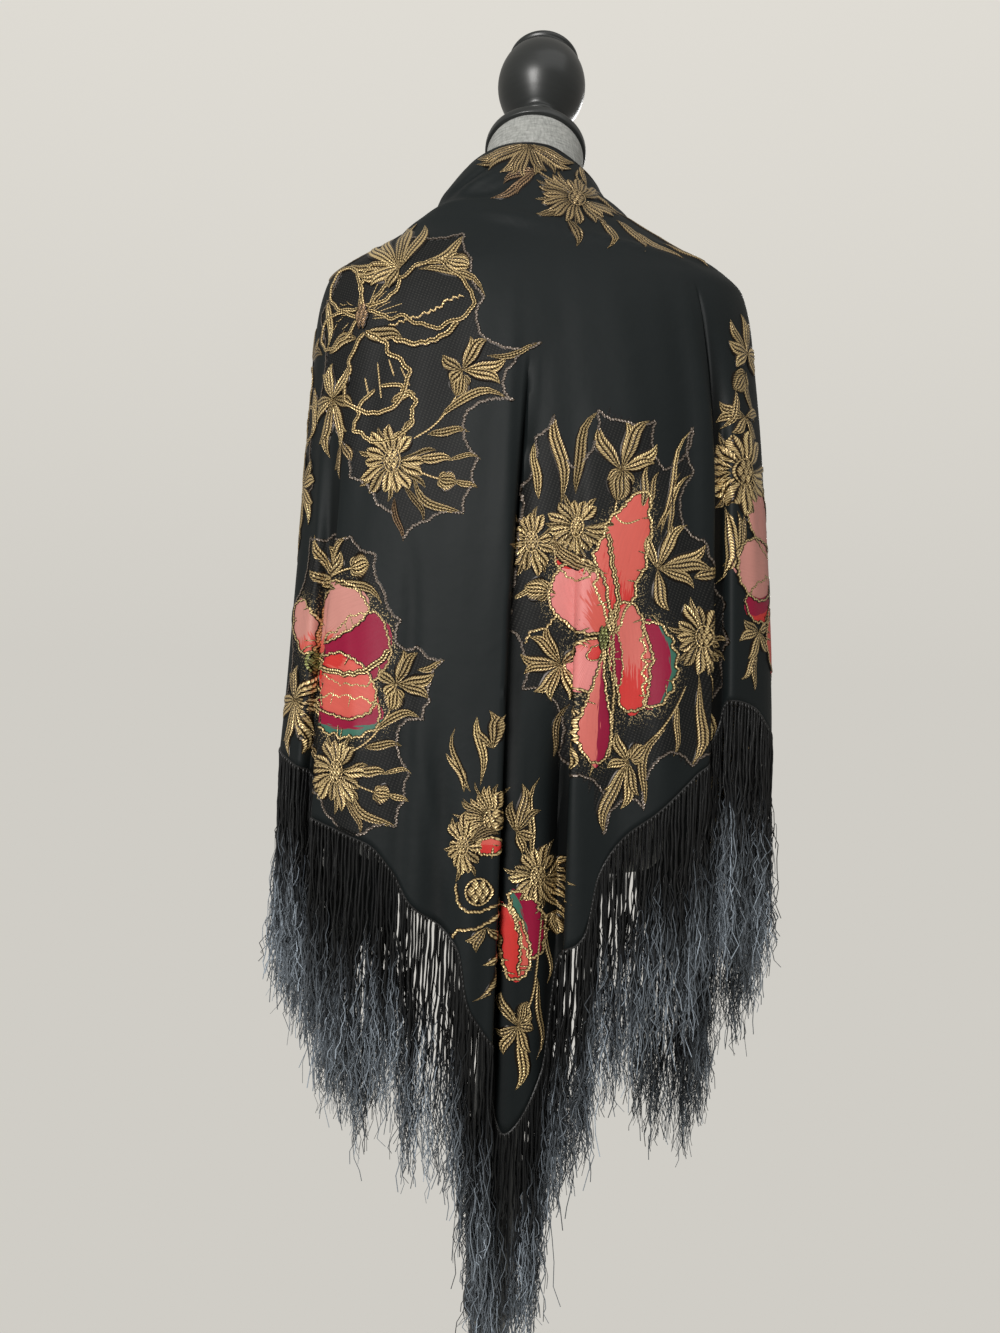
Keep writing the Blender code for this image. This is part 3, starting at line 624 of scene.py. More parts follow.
CREPE_SCALE = 1500.0
CRINKLE_SCALE = 26.0
CRINKLE_DEPTH = 0.0016
WORN_SCALE = 5.0
NET_YARN_SCALE = 420.0
SPECK_SCALE = 620.0
SILK_BLACKS = ((0.0052, 0.0078, 0.0086), (0.0110, 0.0150, 0.0160))
# painted shade, for cloth that lies deep between two folds
FOLD_PAINTED_SHADE = (0.0012, 0.0014, 0.0015)
NET_BLACK = (0.0040, 0.0040, 0.0042)
NET_THREAD = (0.040, 0.039, 0.036)
SCATTERED_GOLD = (0.38, 0.30, 0.17)
silk = Finish("black_silk_crepe", Specular_IOR_Level=0.22)
cloth_at = silk.node("ShaderNodeUVMap", {"uv_map": "cloth"})
crepe = silk.noise(cloth_at, CREPE_SCALE, 2.0, 0.7)
crinkle = silk.noise(cloth_at, CRINKLE_SCALE, 3.0, 0.55)
worn = silk.noise(silk.place(), WORN_SCALE, 3.0)
net_depth, gilding = (silk.attribute(name, "Fac") for name in ("net_ground", "gilding"))
way_round, way_up = silk.parts(cloth_at)[:2]
dots = (way_round + way_up * 0.6) * (2 * math.pi / NET_PITCH)
dots = dots.maths("SINE") * ((way_up - way_round * 0.3) * (2 * math.pi / NET_PITCH)).maths("SINE")
net = net_depth.maths("GREATER_THAN", 0.0)
holes = net * dots.maths("GREATER_THAN", 0.30) * silk.noise(cloth_at, NET_YARN_SCALE, 1.0)
specks = {"Vector": cloth_at, "Scale": SPECK_SCALE}
specks = silk.node("ShaderNodeTexVoronoi", None, specks, "Distance")
stitched = (gilding * 0.41 - specks).maths("GREATER_THAN", 0.0) * net
plain_black = silk.blend(crepe * 0.5 + worn * 0.5, *SILK_BLACKS)
# painted shade: the black darkens towards near black where the cloth lies deep between two folds
plain_black = silk.blend(silk.attribute("in_fold", "Fac") * 0.85, plain_black, FOLD_PAINTED_SHADE)
netted = silk.blend(holes, silk.blend(net * 0.75, plain_black, NET_BLACK), NET_THREAD)
silk.set({
    "Base Color": silk.blend(stitched, netted, SCATTERED_GOLD),
    "Metallic": stitched * 0.7,
    "Roughness": worn * 0.14 + 0.50,
    "Normal": silk.bump(crepe * 0.12 + crinkle, CRINKLE_DEPTH, 0.55),
})
cloth = finished_piece("silk_cloth", shape, silk, ["shawl_cloth"])
wall = cloth.modifiers.new("cloth wall", "SOLIDIFY")
wall.thickness = CLOTH_THICKNESS
wall.offset = -1.0
wall.use_even_offset = False
point_values(cloth.data, "in_fold", fold_shade_painted)

# --------------------------------------------------------------- embroidery
# Bouquets in couched gold thread and satin-stitched silk.  Each is drawn flat,
# in millimetres round the body and up from the bouquet's own middle, and then
# laid on the draped cloth.
GOLD = (1.0, 0.76, 0.38)
OLD_GOLD = (0.66, 0.49, 0.25)
COPPER = (0.46, 0.30, 0.17)
EDGING = (0.25, 0.21, 0.18)
OLIVE = (0.34, 0.36, 0.13)
CORAL = (0.76, 0.130, 0.100)
SALMON = (0.76, 0.18, 0.15)
SCARLET = (0.72, 0.042, 0.036)
PINK = (0.88, 0.285, 0.27)
PALE_PINK = (0.70, 0.31, 0.265)
MAGENTA = (0.34, 0.004, 0.045)
TEAL = (0.056, 0.185, 0.132)
LEAF_GRID = (6, 8)
PETAL_GRID = (6, 6)
KNOT_GRID = (4, 4)
KNOTS = 7                        # in the button of a flower
SILK_GRID = (16, 26)
CORD_STEP = 1.9
CORD_END = 0.35                  # its width at a free end, as a share
CORD_TAPER = 4.0                 # how far from its end it would be one width wider
DARK_EDGE = 0.20                 # share of a leaf's half width that is its edge, painted near black as shade by the gold shader
EDGE_DIP = 0.35                  # how far a stitched edge sinks into the cloth
AT_EDGE = 0.99                   # across a patch, which reaches from -1 to 1
LEAF_PADDING = 0.95              # height of a leaf's stitches over the cloth
SATIN_PADDING = 0.45
CORD_PADDING = 0.32              # of a cord, as a share of its width
STITCH_SLANT = 0.9               # of the stitches on both sides of a rib
UNCHANGED = (0, 0, 9)            # a petal that keeps its first colour
dice = np.random.default_rng(7)
sewn = {"gold": [], "silk": []}
grounds = []
grid_store = {}


def stitch_grid(size):
    """Shares across and along a grid, and its faces, made once for each size."""
    if size not in grid_store:
        shape, across, up = flat_grid(*size)
        faces = np.array([[v.index for v in face.verts] for face in shape.faces])
        shape.free()
        grid_store[size] = across, up, faces
    return grid_store[size]


def sew(kind, size, plan, lift, stitch, tint, second=(0.0, 0.0, 0.0), change=-1.0):
    """Keeps one patch: plan, lift, stitch coordinates, and two colours with the change between."""
    tint, second = (np.broadcast_to(np.asarray(c, float), (len(plan), 3)) for c in (tint, second))
    sewn[kind].append((size, plan, lift, stitch, tint, second, np.broadcast_to(change, len(plan))))


class Hoop:
    """Where a bouquet lies on the cloth: its middle, and how far it is stretched each way."""

    def __init__(self, way=0.0, height=0.0, stretch_way=1.0, stretch_height=1.0):
        self.middle = np.array((way, height), float)
        self.stretch = np.array((stretch_way, stretch_height))

    def plan(self, points):
        return self.middle + np.asarray(points, float) * self.stretch

    def moved(self, *point):
        """The same hoop with its middle at one of its own points."""
        return Hoop(*self.plan(point), *self.stretch)


def shaped(hoop, root, tip, width, bend, fullest, size, roundness=0.8, frill=(0, 0.0), curl=0.0):
    """The plan of a petal or leaf: its points, ways along and across it, and both shares."""
    across, along, _ = stitch_grid(size)
    root, tip = hoop.plan(root), hoop.plan(tip)
    run = tip - root
    length = math.hypot(*run)
    side = np.array((-run[1], run[0])) / length
    q = across * 2 - 1
    power = math.log(0.5) / math.log(fullest)
    spread = width / 2 * np.sin(math.pi * np.clip(along, 0.004, 0.996) ** power) ** roundness
    waves, depth = frill
    ruffle = np.sin(waves * math.pi * along) + 0.6 * np.sin(waves * 2.3 * math.pi * along + 1.0)
    spread = spread + depth * ruffle * np.abs(q) ** 3 * np.minimum(1.0, 4 * along) * (1 - along) ** 0.3
    sideways = 4 * bend * along * (1 - along) + curl * np.sin(2 * math.pi * along) * along
    spine = root + run * along[:, None] + side * (sideways * length)[:, None]
    plan = spine + side * (q * spread)[:, None]
    return plan, along * length, q * spread, along, q


def dip(q):
    """How far each point of a patch sinks into the cloth: only its edges do."""
    return EDGE_DIP * (np.abs(q) > AT_EDGE)


def ribbed(q, ribs):
    """Counts ribs inwards from both edges: below 0 in the edge that is painted dark as shade, whole in each
    groove.
    """
    return (1 - DARK_EDGE - np.abs(q)) / (1 - DARK_EDGE) * ribs / 2


def rim_of(plan, t, q, kept=slice(None)):
    """A petal's rim, up its left side and down its right one."""
    left, right = (np.flatnonzero(q * side > AT_EDGE) for side in (-1, 1))
    sides = left[np.argsort(t[left])], right[np.argsort(-t[right])]
    return np.concatenate([plan[side][kept] for side in sides])


def leaf(hoop, root, tip, width, bend=0.0, fullest=0.45, lift=0.15, tint=GOLD, ribs=3,
         size=LEAF_GRID, roundness=0.8, curl=-0.07):
    """One leaf or petal in gold: ribs of slanting stitches, with grooves between them painted dark as
    shade.
    """
    full_width = width / (1 - DARK_EDGE)
    plan, down, over, t, q = shaped(hoop, root, tip, full_width, bend, fullest, size, roundness,
                                    curl=curl)
    ends = np.minimum(1.0, 4 * np.sin(math.pi * np.clip(t, 0.02, 0.98)))
    crown = LEAF_PADDING * np.sqrt(1 - q * q) * ends
    stitch = np.stack((ribbed(q, ribs), down - STITCH_SLANT * np.abs(over)), axis=1)
    shade = (0.62 + 0.60 * dice.random()) * (0.80 + 0.25 * t)[:, None]
    sew("gold", size, plan, lift + crown - dip(q), stitch, np.array(tint) * shade)


def leaves(hoop, *rows, **looks):
    """Leaves of one look, each with its root, tip, width and bend."""
    for row in rows:
        leaf(hoop, *row, **looks)


def cord(hoop, points, width=2.4, wave=(9.0, 0.0), lift=0.35, tint=GOLD, closed=False, rounds=3,
         ribs=1):
    """A couched cord along a line that is smoothed and may waver."""
    line = hoop.plan(points)
    for _ in range(rounds):
        ahead = np.roll(line, -1, axis=0) if closed else line[1:]
        behind = line if closed else line[:-1]
        cut = np.stack((behind * 0.75 + ahead * 0.25, behind * 0.25 + ahead * 0.75), axis=1)
        cut = cut.reshape(-1, 2)
        line = cut if closed else np.concatenate((line[:1], cut, line[-1:]))
    if closed:
        line = np.concatenate((line, line[:1]))
    way = np.concatenate(([0.0], np.cumsum(np.hypot(*np.diff(line, axis=0).T))))
    steps = max(3, int(way[-1] / CORD_STEP))
    at = np.linspace(0, way[-1], steps + 1)
    line = np.stack((np.interp(at, way, line[:, 0]), np.interp(at, way, line[:, 1])), axis=1)
    run = np.gradient(line, axis=0)
    side = np.stack((-run[:, 1], run[:, 0]), axis=1) / np.hypot(*run.T)[:, None]
    length, depth = wave
    ripple = np.sin(2 * math.pi * at / length + 1.6 * np.sin(at / length * 1.9 + dice.uniform(0, 6)))
    line = line + side * (depth * ripple)[:, None]
    size = (4, steps)
    across, along, _ = stitch_grid(size)
    q = across * 2 - 1
    index = np.rint(along * steps).astype(int)
    from_end = np.minimum(along, 1 - along) * way[-1]
    taper = 1.0 if closed else np.minimum(1.0, CORD_END + from_end / CORD_TAPER)
    half = width / 2 / (1 - DARK_EDGE) * taper
    plan = line[index] + side[index] * (q * half)[:, None]
    body = CORD_PADDING * width * np.sqrt(np.clip(1 - q * q, 0, 1))
    shade = 0.80 + 0.30 * dice.random()
    stitch = np.stack((ribbed(q, ribs), at[index] + 0.45 * q * width), axis=1)
    sew("gold", size, plan, lift + body - dip(q), stitch, np.array(tint) * shade)


def button(hoop, middle, half_width, half_height, tint=GOLD, lift=1.2, ring=True):
    """The oval button in the middle of a flower: crossed stitches inside a ring of cord."""
    spot = hoop.moved(*middle)
    for n in range(KNOTS):
        angle = 2 * math.pi * n / (KNOTS - 1)
        out = 0.62 if n < KNOTS - 1 else 0.0
        x, y = out * half_width * math.cos(angle), out * half_height * math.sin(angle)
        half = 0.42 * half_height
        leaf(spot, (x, y - half), (x, y + half), 0.80 * half_width, 0.0, 0.5, lift + 0.5 * (1 - out),
             tint, 1, KNOT_GRID, 0.5, 0.0)
    if ring:
        turns = np.linspace(0, 2 * math.pi, 11)[:-1]
        edge = [(1.12 * half_width * math.cos(a), 1.12 * half_height * math.sin(a)) for a in turns]
        cord(spot, edge, 2.0, lift=lift - 0.2, tint=tint, closed=True, rounds=1)


def daisy(hoop, middle, radius, petals=13, turn=0.0, narrow=1.0, tint=GOLD, start=0.0,
          span=2 * math.pi):
    """A daisy: long dark petals behind, broad ribbed ones of unequal length before, and a button."""
    spot = hoop.moved(*middle)
    behind = tuple(0.62 * c for c in tint)
    layers = ((behind, 0.95, 1.18, 0.60), (tint, 0.74, 1.04, 1.12))
    for layer, (shade, near, far, fat) in enumerate(layers):
        for n in range(layer, petals, 2 - layer):
            wobble = 0.12 * (dice.random() - 0.5)
            angle = start + turn + span * (n + 0.5 * layer) / petals + wobble
            away = np.array((math.cos(angle) * narrow, math.sin(angle)))
            reach = radius * dice.uniform(near, far)
            width = fat * span * radius * 0.60 / petals * (0.5 + 0.5 * narrow)
            leaf(spot, away * radius * 0.20, away * reach, width, 0.06 * (dice.random() - 0.5),
                 0.64, 0.1 + 0.3 * layer + 0.2 * (n % 2), shade, 2, PETAL_GRID, 0.58)
    button(spot, (0, 0), radius * 0.20 * (0.4 + 0.6 * narrow), radius * 0.27, tint)


def fan(hoop, middle, tips, width=10.0, tint=GOLD, ribs=3):
    """Leaves that spread from one point to the given tips."""
    for n, tip in enumerate(tips):
        bend = 0.09 * (-1) ** n
        leaf(hoop, middle, tip, width * (0.85 + 0.3 * dice.random()), bend, 0.55, 0.15 + 0.12 * n,
             tint, ribs, curl=-0.8 * bend)


def bud(hoop, root, tip, width, tint=GOLD):
    """A closed bud: four lobes over a darker rim, and a small leaf on each side."""
    root, tip = np.array(root, float), np.array(tip, float)
    leaf(hoop, root, tip, width, 0.0, 0.52, 0.45, tint, 4, roundness=0.6)
    leaf(hoop, root, tip, width * 1.5, 0.0, 0.5, 0.0, tuple(0.6 * c for c in tint), 2, roundness=0.6)
    run = tip - root
    side = np.array((-run[1], run[0])) * 0.42
    for way in (1, -1):
        tip = root + 0.42 * run + way * side
        leaf(hoop, root, tip, width * 0.34, 0.2 * way, 0.5, 0.7, tint, 2, PETAL_GRID)


def ground(hoop, points, sag=0.16):
    """The net ground behind a bouquet, edged by a thin cord that sags in between leaf tips."""
    corners = np.asarray(points, float)
    middle = corners.mean(axis=0)
    edge = []
    for a, b in zip(corners, np.roll(corners, -1, axis=0)):
        chord = b - a
        inward = np.array((-chord[1], chord[0]))
        inward *= np.sign(inward @ (middle - (a + b) / 2))
        for t in np.linspace(0, 1, 7)[:-1]:
            edge.append(a + chord * t + inward * sag * 4 * t * (1 - t))
    cord(hoop, edge, 3.0, (9.0, 0.6), 0.05, EDGING, True, 1)
    grounds.append(hoop.plan(edge))


def silk_petal(hoop, root, tip, width, tint, second, change, bend=0.0, fullest=0.6,
               roundness=0.55, frill=(5, 1.2), lift=0.60, edge_width=2.6, spikes=5):
    """A petal in satin-stitched silk that turns into a second colour, with a ragged gold edge.

    The change holds its rates along and across the petal and the level at which it happens.
    """
    plan, down, over, t, q = shaped(hoop, root, tip, width, bend, fullest, SILK_GRID, roundness,
                                    frill)
    rate_along, rate_across, level = change
    crown = SATIN_PADDING * (1 - q ** 4) * np.minimum(1.0, 5 * t) * np.minimum(1.0, 5 * (1 - t))
    stitch = np.stack((over, down), axis=1)
    turned = rate_along * t + rate_across * q - level
    sew("silk", SILK_GRID, plan, lift + crown - dip(q), stitch, tint, second, turned)
    rim = rim_of(plan, t, q, slice(1, -1))
    flat = Hoop()
    cord(flat, rim, edge_width, (9.5, 0.75), lift + 0.2, GOLD, True, 1)
    spine = plan[np.abs(q) < 0.01]
    for n in dice.choice(len(rim), spikes, replace=False):
        inward = spine[np.argmin(np.hypot(*(spine - rim[n]).T))] - rim[n]
        inward = inward + dice.normal(0, 3.0, 2)
        inward *= dice.uniform(5, 11) / max(1e-6, math.hypot(*inward))
        cord(flat, (rim[n] - inward * 0.3, rim[n] + inward), 1.3, lift=lift + 0.6, rounds=0)


def silk_petals(hoop, *rows):
    """Silk petals, each with its root, tip, width, both colours, change, bend and so on."""
    for row in rows:
        silk_petal(hoop, *row)


def line_petal(hoop, root, tip, width, bend, fullest, roundness, frill, cord_width=4.0):
    """A petal drawn only as its wavering gold edge."""
    plan, _, _, t, q = shaped(hoop, root, tip, width, bend, fullest, SILK_GRID, roundness, frill)
    cord(Hoop(), rim_of(plan, t, q), cord_width, (17.0, 0.5), 0.4, rounds=2, ribs=2)


def ray(hoop, rounds, *spokes):
    """A fine cord through points that are given by their reach and angle."""
    cord(hoop, [(r * math.cos(a), r * math.sin(a)) for r, a in spokes], 1.1, rounds=rounds)


def open_flower(hoop):
    """A big flower in gold line only: petals that are just edges, fine rays and an oval button."""
    for petal in (
        ((6, 6), (108, 10), 62, 0.10, 0.62, 0.6, (4, 3.2)),
        ((2, 10), (24, 50), 40, -0.05, 0.6, 0.55, (3, 1.5)),
        ((-4, 8), (-34, 50), 40, 0.05, 0.6, 0.55, (3, 1.5)),
        ((-6, -2), (-56, -14), 34, 0.0, 0.6, 0.55, (3, 1.5)),
        ((4, -16), (30, -92), 66, -0.06, 0.64, 0.5, (4, 3.2), 4.6),
        ((20, -70), (40, -118), 62, -0.06, 0.5, 0.5, (5, 3.0)),
    ):
        line_petal(hoop, *petal)
    cord(hoop, ((28, -12), (58, -4), (74, 2), (84, 12), (98, 16)), 2.6, (8, 1.4))
    cord(hoop, ((32, -24), (56, -32), (78, -26), (94, -10)), 5.2, (12, 0.8), 0.6, ribs=2)
    for angle in np.linspace(-0.30, 0.95, 8):
        far = dice.uniform(28, 50)
        ray(hoop, 2, (12, angle), ((12 + far) / 2, angle + 0.16), (far, angle + 0.16))
    for n, angle in enumerate(np.linspace(2.3, 4.0, 10)):
        near = 16 + 7 * (n % 3)
        ray(hoop, 1, (near, angle), (near + 4, angle + 0.12), (near + 9, angle + 0.1))
    leaf(hoop, (4, -18), (42, -24), 15, 0.05, roundness=0.6)
    leaf(hoop, (-6, -20), (-40, -30), 13, -0.14, roundness=0.6)
    leaf(hoop, (-50, 26), (-44, -24), 12, 0.10)
    leaf(hoop, (34, -84), (58, -78), 9, 0.1, roundness=0.6)
    for line in (((18, -46), (24, -80)), ((42, -52), (52, -70)), ((6, -60), (10, -76)),
                 ((30, -44), (36, -60))):
        cord(hoop, line, 2.2)
    button(hoop, (0, 0), 7, 13, COPPER, ring=False)


def trailing_bouquet(hoop, pale=None, strong=None):
    """A bouquet with its daisy at the foot, a big flower over it and sprays to one side.

    The big flower is worked in gold line, or else in silk of the two colours handed in.
    """
    right_edge = ((66, 44), (80, 2), (76, -22), (68, -48), (34, -56), (13, -73), (-14, -40),
                  (-44, -14), (-66, 30), (-96, 60), (-100, 150))
    if pale is None:
        ground(hoop, ((-66, 225), (-20, 240), (58, 222), (66, 192), (80, 154), (74, 128), (86, 112),
                      (134, 112), (108, 90), (100, 70), (110, 56)) + right_edge)
        fan(hoop, (-2, 184), ((-58, 196), (-54, 214), (-28, 242), (-14, 246), (2, 246), (14, 240),
                              (-44, 180), (-30, 168), (-42, 226), (-12, 164)), 13)
        fan(hoop, (-64, 200), ((-104, 196), (-96, 216), (-76, 232), (-56, 236)), 12, OLD_GOLD)
        leaves(hoop, ((19, 188), (58, 219), 12, -0.18), ((16, 182), (80, 154), 9, 0.16))
        cord(hoop, ((14, 184), (30, 190), (44, 191)))
        bud(hoop, (42, 190), (64, 184), 17)
        open_flower(hoop.moved(-38, 139))
        leaves(hoop, ((84, 98), (134, 112), 6.5, -0.10), ((42, 38), (107, 56), 9, 0.22))
    else:
        ground(hoop, ((-66, 225), (-30, 228), (4, 222), (34, 206), (46, 170), (64, 144), (62, 120),
                      (84, 120), (112, 108), (98, 86), (98, 70), (92, 52)) + right_edge)
        fan(hoop, (-26, 180), ((-56, 226), (-40, 216), (-2, 222), (-8, 208), (-62, 192), (-50, 176)), 11)
        fan(hoop, (-26, 182), ((-4, 200), (-10, 172), (-40, 164)), 8)
        leaf(hoop, (-22, 176), (44, 158), 10, 0.14)
        cord(hoop, ((-22, 182), (-6, 190), (8, 192)))
        bud(hoop, (6, 192), (27, 196), 16)
        silk_petals(
            hoop,
            ((-60, 108), (-78, 164), 30, pale, CORAL, (-1, 0, -0.3), 0.0, 0.6),
            ((-52, 102), (54, 134), 64, MAGENTA, SCARLET, UNCHANGED, -0.10, 0.68, 0.5, (7, 1.8), 0.2),
            ((-52, 106), (26, 166), 56, pale, CORAL, (-1, -0.2, -0.24), 0.16, 0.66, 0.55, (2, 0.6), 0.7),
            ((-56, 62), (50, 54), 38, MAGENTA, TEAL, (0.3, -1, 0.76), -0.06, 0.6, 0.4, (11, 2.4), 0.2),
            ((-54, 92), (44, 64), 58, strong, SCARLET, (-1, 0.3, -0.26), 0.04, 0.52, 0.6, (6, 1.2), 0.7),
        )
        cord(hoop, ((-56, 106), (-24, 96), (10, 90), (38, 98), (54, 116)), 5.0, (14, 0.8), 1.2, ribs=2)
        button(hoop, (-54, 102), 6, 11, OLIVE)
        leaves(hoop, ((84, 98), (112, 108), 6.5, -0.10), ((42, 38), (92, 52), 9, 0.22))
    fan(hoop, (-72, 64), ((-44, 52), (-50, 30), (-62, 12), (-76, 8), (-90, 22), (-98, 44), (-100, 66),
                          (-88, 90), (-72, 98), (-52, 92)), 12)
    fan(hoop, (-58, 22), ((-44, 0), (-58, -14), (-70, -4)), 9, OLD_GOLD)
    fan(hoop, (62, 84), ((43, 98), (68, 116), (84, 114), (102, 96), (97, 72), (52, 72)), 11.5)
    bud(hoop, (62, 80), (57, 60), 13)
    cord(hoop, ((57, 60), (48, 44), (36, 30), (20, 20)), 2.0)
    leaves(hoop, ((32, 24), (70, 27), 8.5, 0.05), ((24, 1), (56, 1), 10.5, 0.04),
           ((52, 0), (82, 2), 5.0, 0.14))
    cord(hoop, ((20, -8), (34, -14), (46, -17)), 2.0)
    bud(hoop, (44, -17), (60, -20), 13)
    leaf(hoop, (58, -18), (80, -24), 6.5)
    leaf(hoop, (20, -10), (68, -48), 9.0, -0.22, fullest=0.55)
    leaf(hoop, (12, -24), (31, -57), 6.5, 0.10, tint=OLD_GOLD)
    leaf(hoop, (3, -34), (13, -74), 6.5, -0.05, tint=COPPER)
    daisy(hoop, (0, 0), 37, 14, 0.2)


def standing_bouquet(hoop, pale, strong):
    """A bouquet round an upright orchid, with long leaves and daisies round it."""
    ground(hoop, ((-68, 178), (-51, 200), (-30, 150), (-12, 206), (12, 196), (42, 198), (52, 152),
                  (80, 197), (82, 152), (70, 108), (94, 90), (114, 60), (128, 36), (132, 0),
                  (126, -40), (114, -103), (88, -118), (62, -104), (43, -158), (30, -146),
                  (6, -182), (2, -138), (-24, -128), (-36, -112), (-42, -60), (-72, -52),
                  (-72, -16), (-87, 4), (-86, 32), (-84, 64), (-82, 96), (-80, 130)))
    leaf(hoop, (-62, 122), (-66, 176), 9, 0.03)
    leaf(hoop, (-42, 116), (-51, 199), 13, -0.05, fullest=0.6)
    leaf(hoop, (-29, 128), (-10, 204), 11, 0.08)
    fan(hoop, (12, 150), ((-10, 190), (14, 196), (36, 197), (44, 176), (42, 158)), 13)
    bud(hoop, (12, 150), (8, 122), 15)
    cord(hoop, ((8, 122), (6, 108), (16, 100), (30, 106)), 2.2)
    leaves(hoop, ((50, 94), (80, 194), 6, 0.04), ((38, 116), (47, 151), 6, 0.04),
           ((57, 90), (68, 152), 6, 0.04), ((46, 98), (79, 151), 6, 0.04), ribs=2)
    daisy(hoop, (-67, 83), 32, 13, 0.4, 0.72)
    daisy(hoop, (-26, 97), 31, 13, 0.1)
    silk_petals(
        hoop,
        ((10, -2), (36, 136), 46, strong, SCARLET, (-1, 0, -0.34), 0.07, 0.54, 0.85, (9, 2.4), 0.4, 3, 9),
        ((42, 16), (46, -66), 30, MAGENTA, TEAL, (0, 1, 0.58), 0.12, 0.5, 0.4, (11, 3.0), 0.3, 3, 6),
        ((17, 34), (30, -72), 36, SALMON, SCARLET, (1, 0, 0.60), 0.03, 0.5, 0.45, (5, 1.8), 0.6, 3, 6),
        ((9, 6), (15, -48), 13, MAGENTA, SCARLET, UNCHANGED, 0, 0.5, 0.6, (0, 0), 0.9, 1.6, 0),
        ((-14, 50), (-44, 84), 22, SCARLET, SCARLET, UNCHANGED, 0.08, 0.5, 0.6, (3, 1.0), 0.5, 2.4, 3),
    )
    leaf(hoop, (-4, 58), (-48, 90), 13, 0.14, 0.45, 1.2, OLD_GOLD, 4)
    silk_petals(
        hoop,
        ((-1, 0), (-32, 68), 52, pale, CORAL, (-1, -0.5, -0.30), 0.08, 0.56, 0.5, (4, 1.0), 0.7, 3.2, 5),
        ((-3, -2), (-20, -52), 35, pale, CORAL, (-1, 0, -0.24), -0.06, 0.6, 0.5, (3, 0.8), 0.6, 2.8, 4),
        ((3, -2), (-3, -120), 30, SALMON, MAGENTA, (0, 1, 0.10), -0.03, 0.74, 0.85, (0, 0), 1.3, 2.6, 2),
        ((-2, -10), (-12, -24), 11, SCARLET, SCARLET, UNCHANGED, 0, 0.5, 0.6, (0, 0), 1.2, 1.4, 0),
    )
    button(hoop, (0, -3), 5, 12, OLIVE, 1.8, False)
    cord(hoop, ((8, 0), (14, 34), (6, 62), (2, 92)), 4.4, (9, 0.8), 1.1, ribs=2)
    cord(hoop, ((9, -4), (12, -50), (9, -110)), 3.0, (9, 0.5), 1.4)
    leaf(hoop, (32, 116), (36, 156), 8, ribs=2)
    fan(hoop, (48, 62), ((40, 94), (58, 106), (76, 104), (94, 87), (84, 46), (60, 24), (100, 62)), 12)
    leaf(hoop, (84, 56), (114, 60), 12, 0.10)
    daisy(hoop, (94, 2), 34)
    bud(hoop, (-50, 38), (-72, 42), 15)
    leaf(hoop, (-38, 32), (-84, 28), 8, -0.26)
    cord(hoop, ((-42, 18), (-52, 2), (-64, 4), (-70, -10)), 3.0, (8, 1.0))
    fan(hoop, (-36, -28), ((-50, 8), (-66, -4), (-74, -20), (-70, -38), (-60, -54), (-44, -62),
                           (-28, -60), (-22, -8)), 11)
    leaf(hoop, (-24, -62), (-8, -128), 8, 0.08)
    leaf(hoop, (-28, -64), (-40, -114), 7, -0.10, tint=OLD_GOLD)
    leaf(hoop, (-26, -92), (-24, -126), 7, 0.12)
    fan(hoop, (28, -114), ((16, -88), (8, -120), (6, -140), (8, -180), (22, -157), (38, -144)), 11)
    bud(hoop, (30, -112), (43, -100), 13)
    cord(hoop, ((42, -100), (56, -84), (70, -62), (78, -44)), 2.2)
    leaves(hoop, ((60, -82), (43, -156), 9, -0.16), ((70, -58), (68, -108), 7, 0.03))
    leaves(hoop, ((91, -30), (87, -117), 10, 0.06), ((99, -28), (113, -103), 9, 0.06), fullest=0.6)


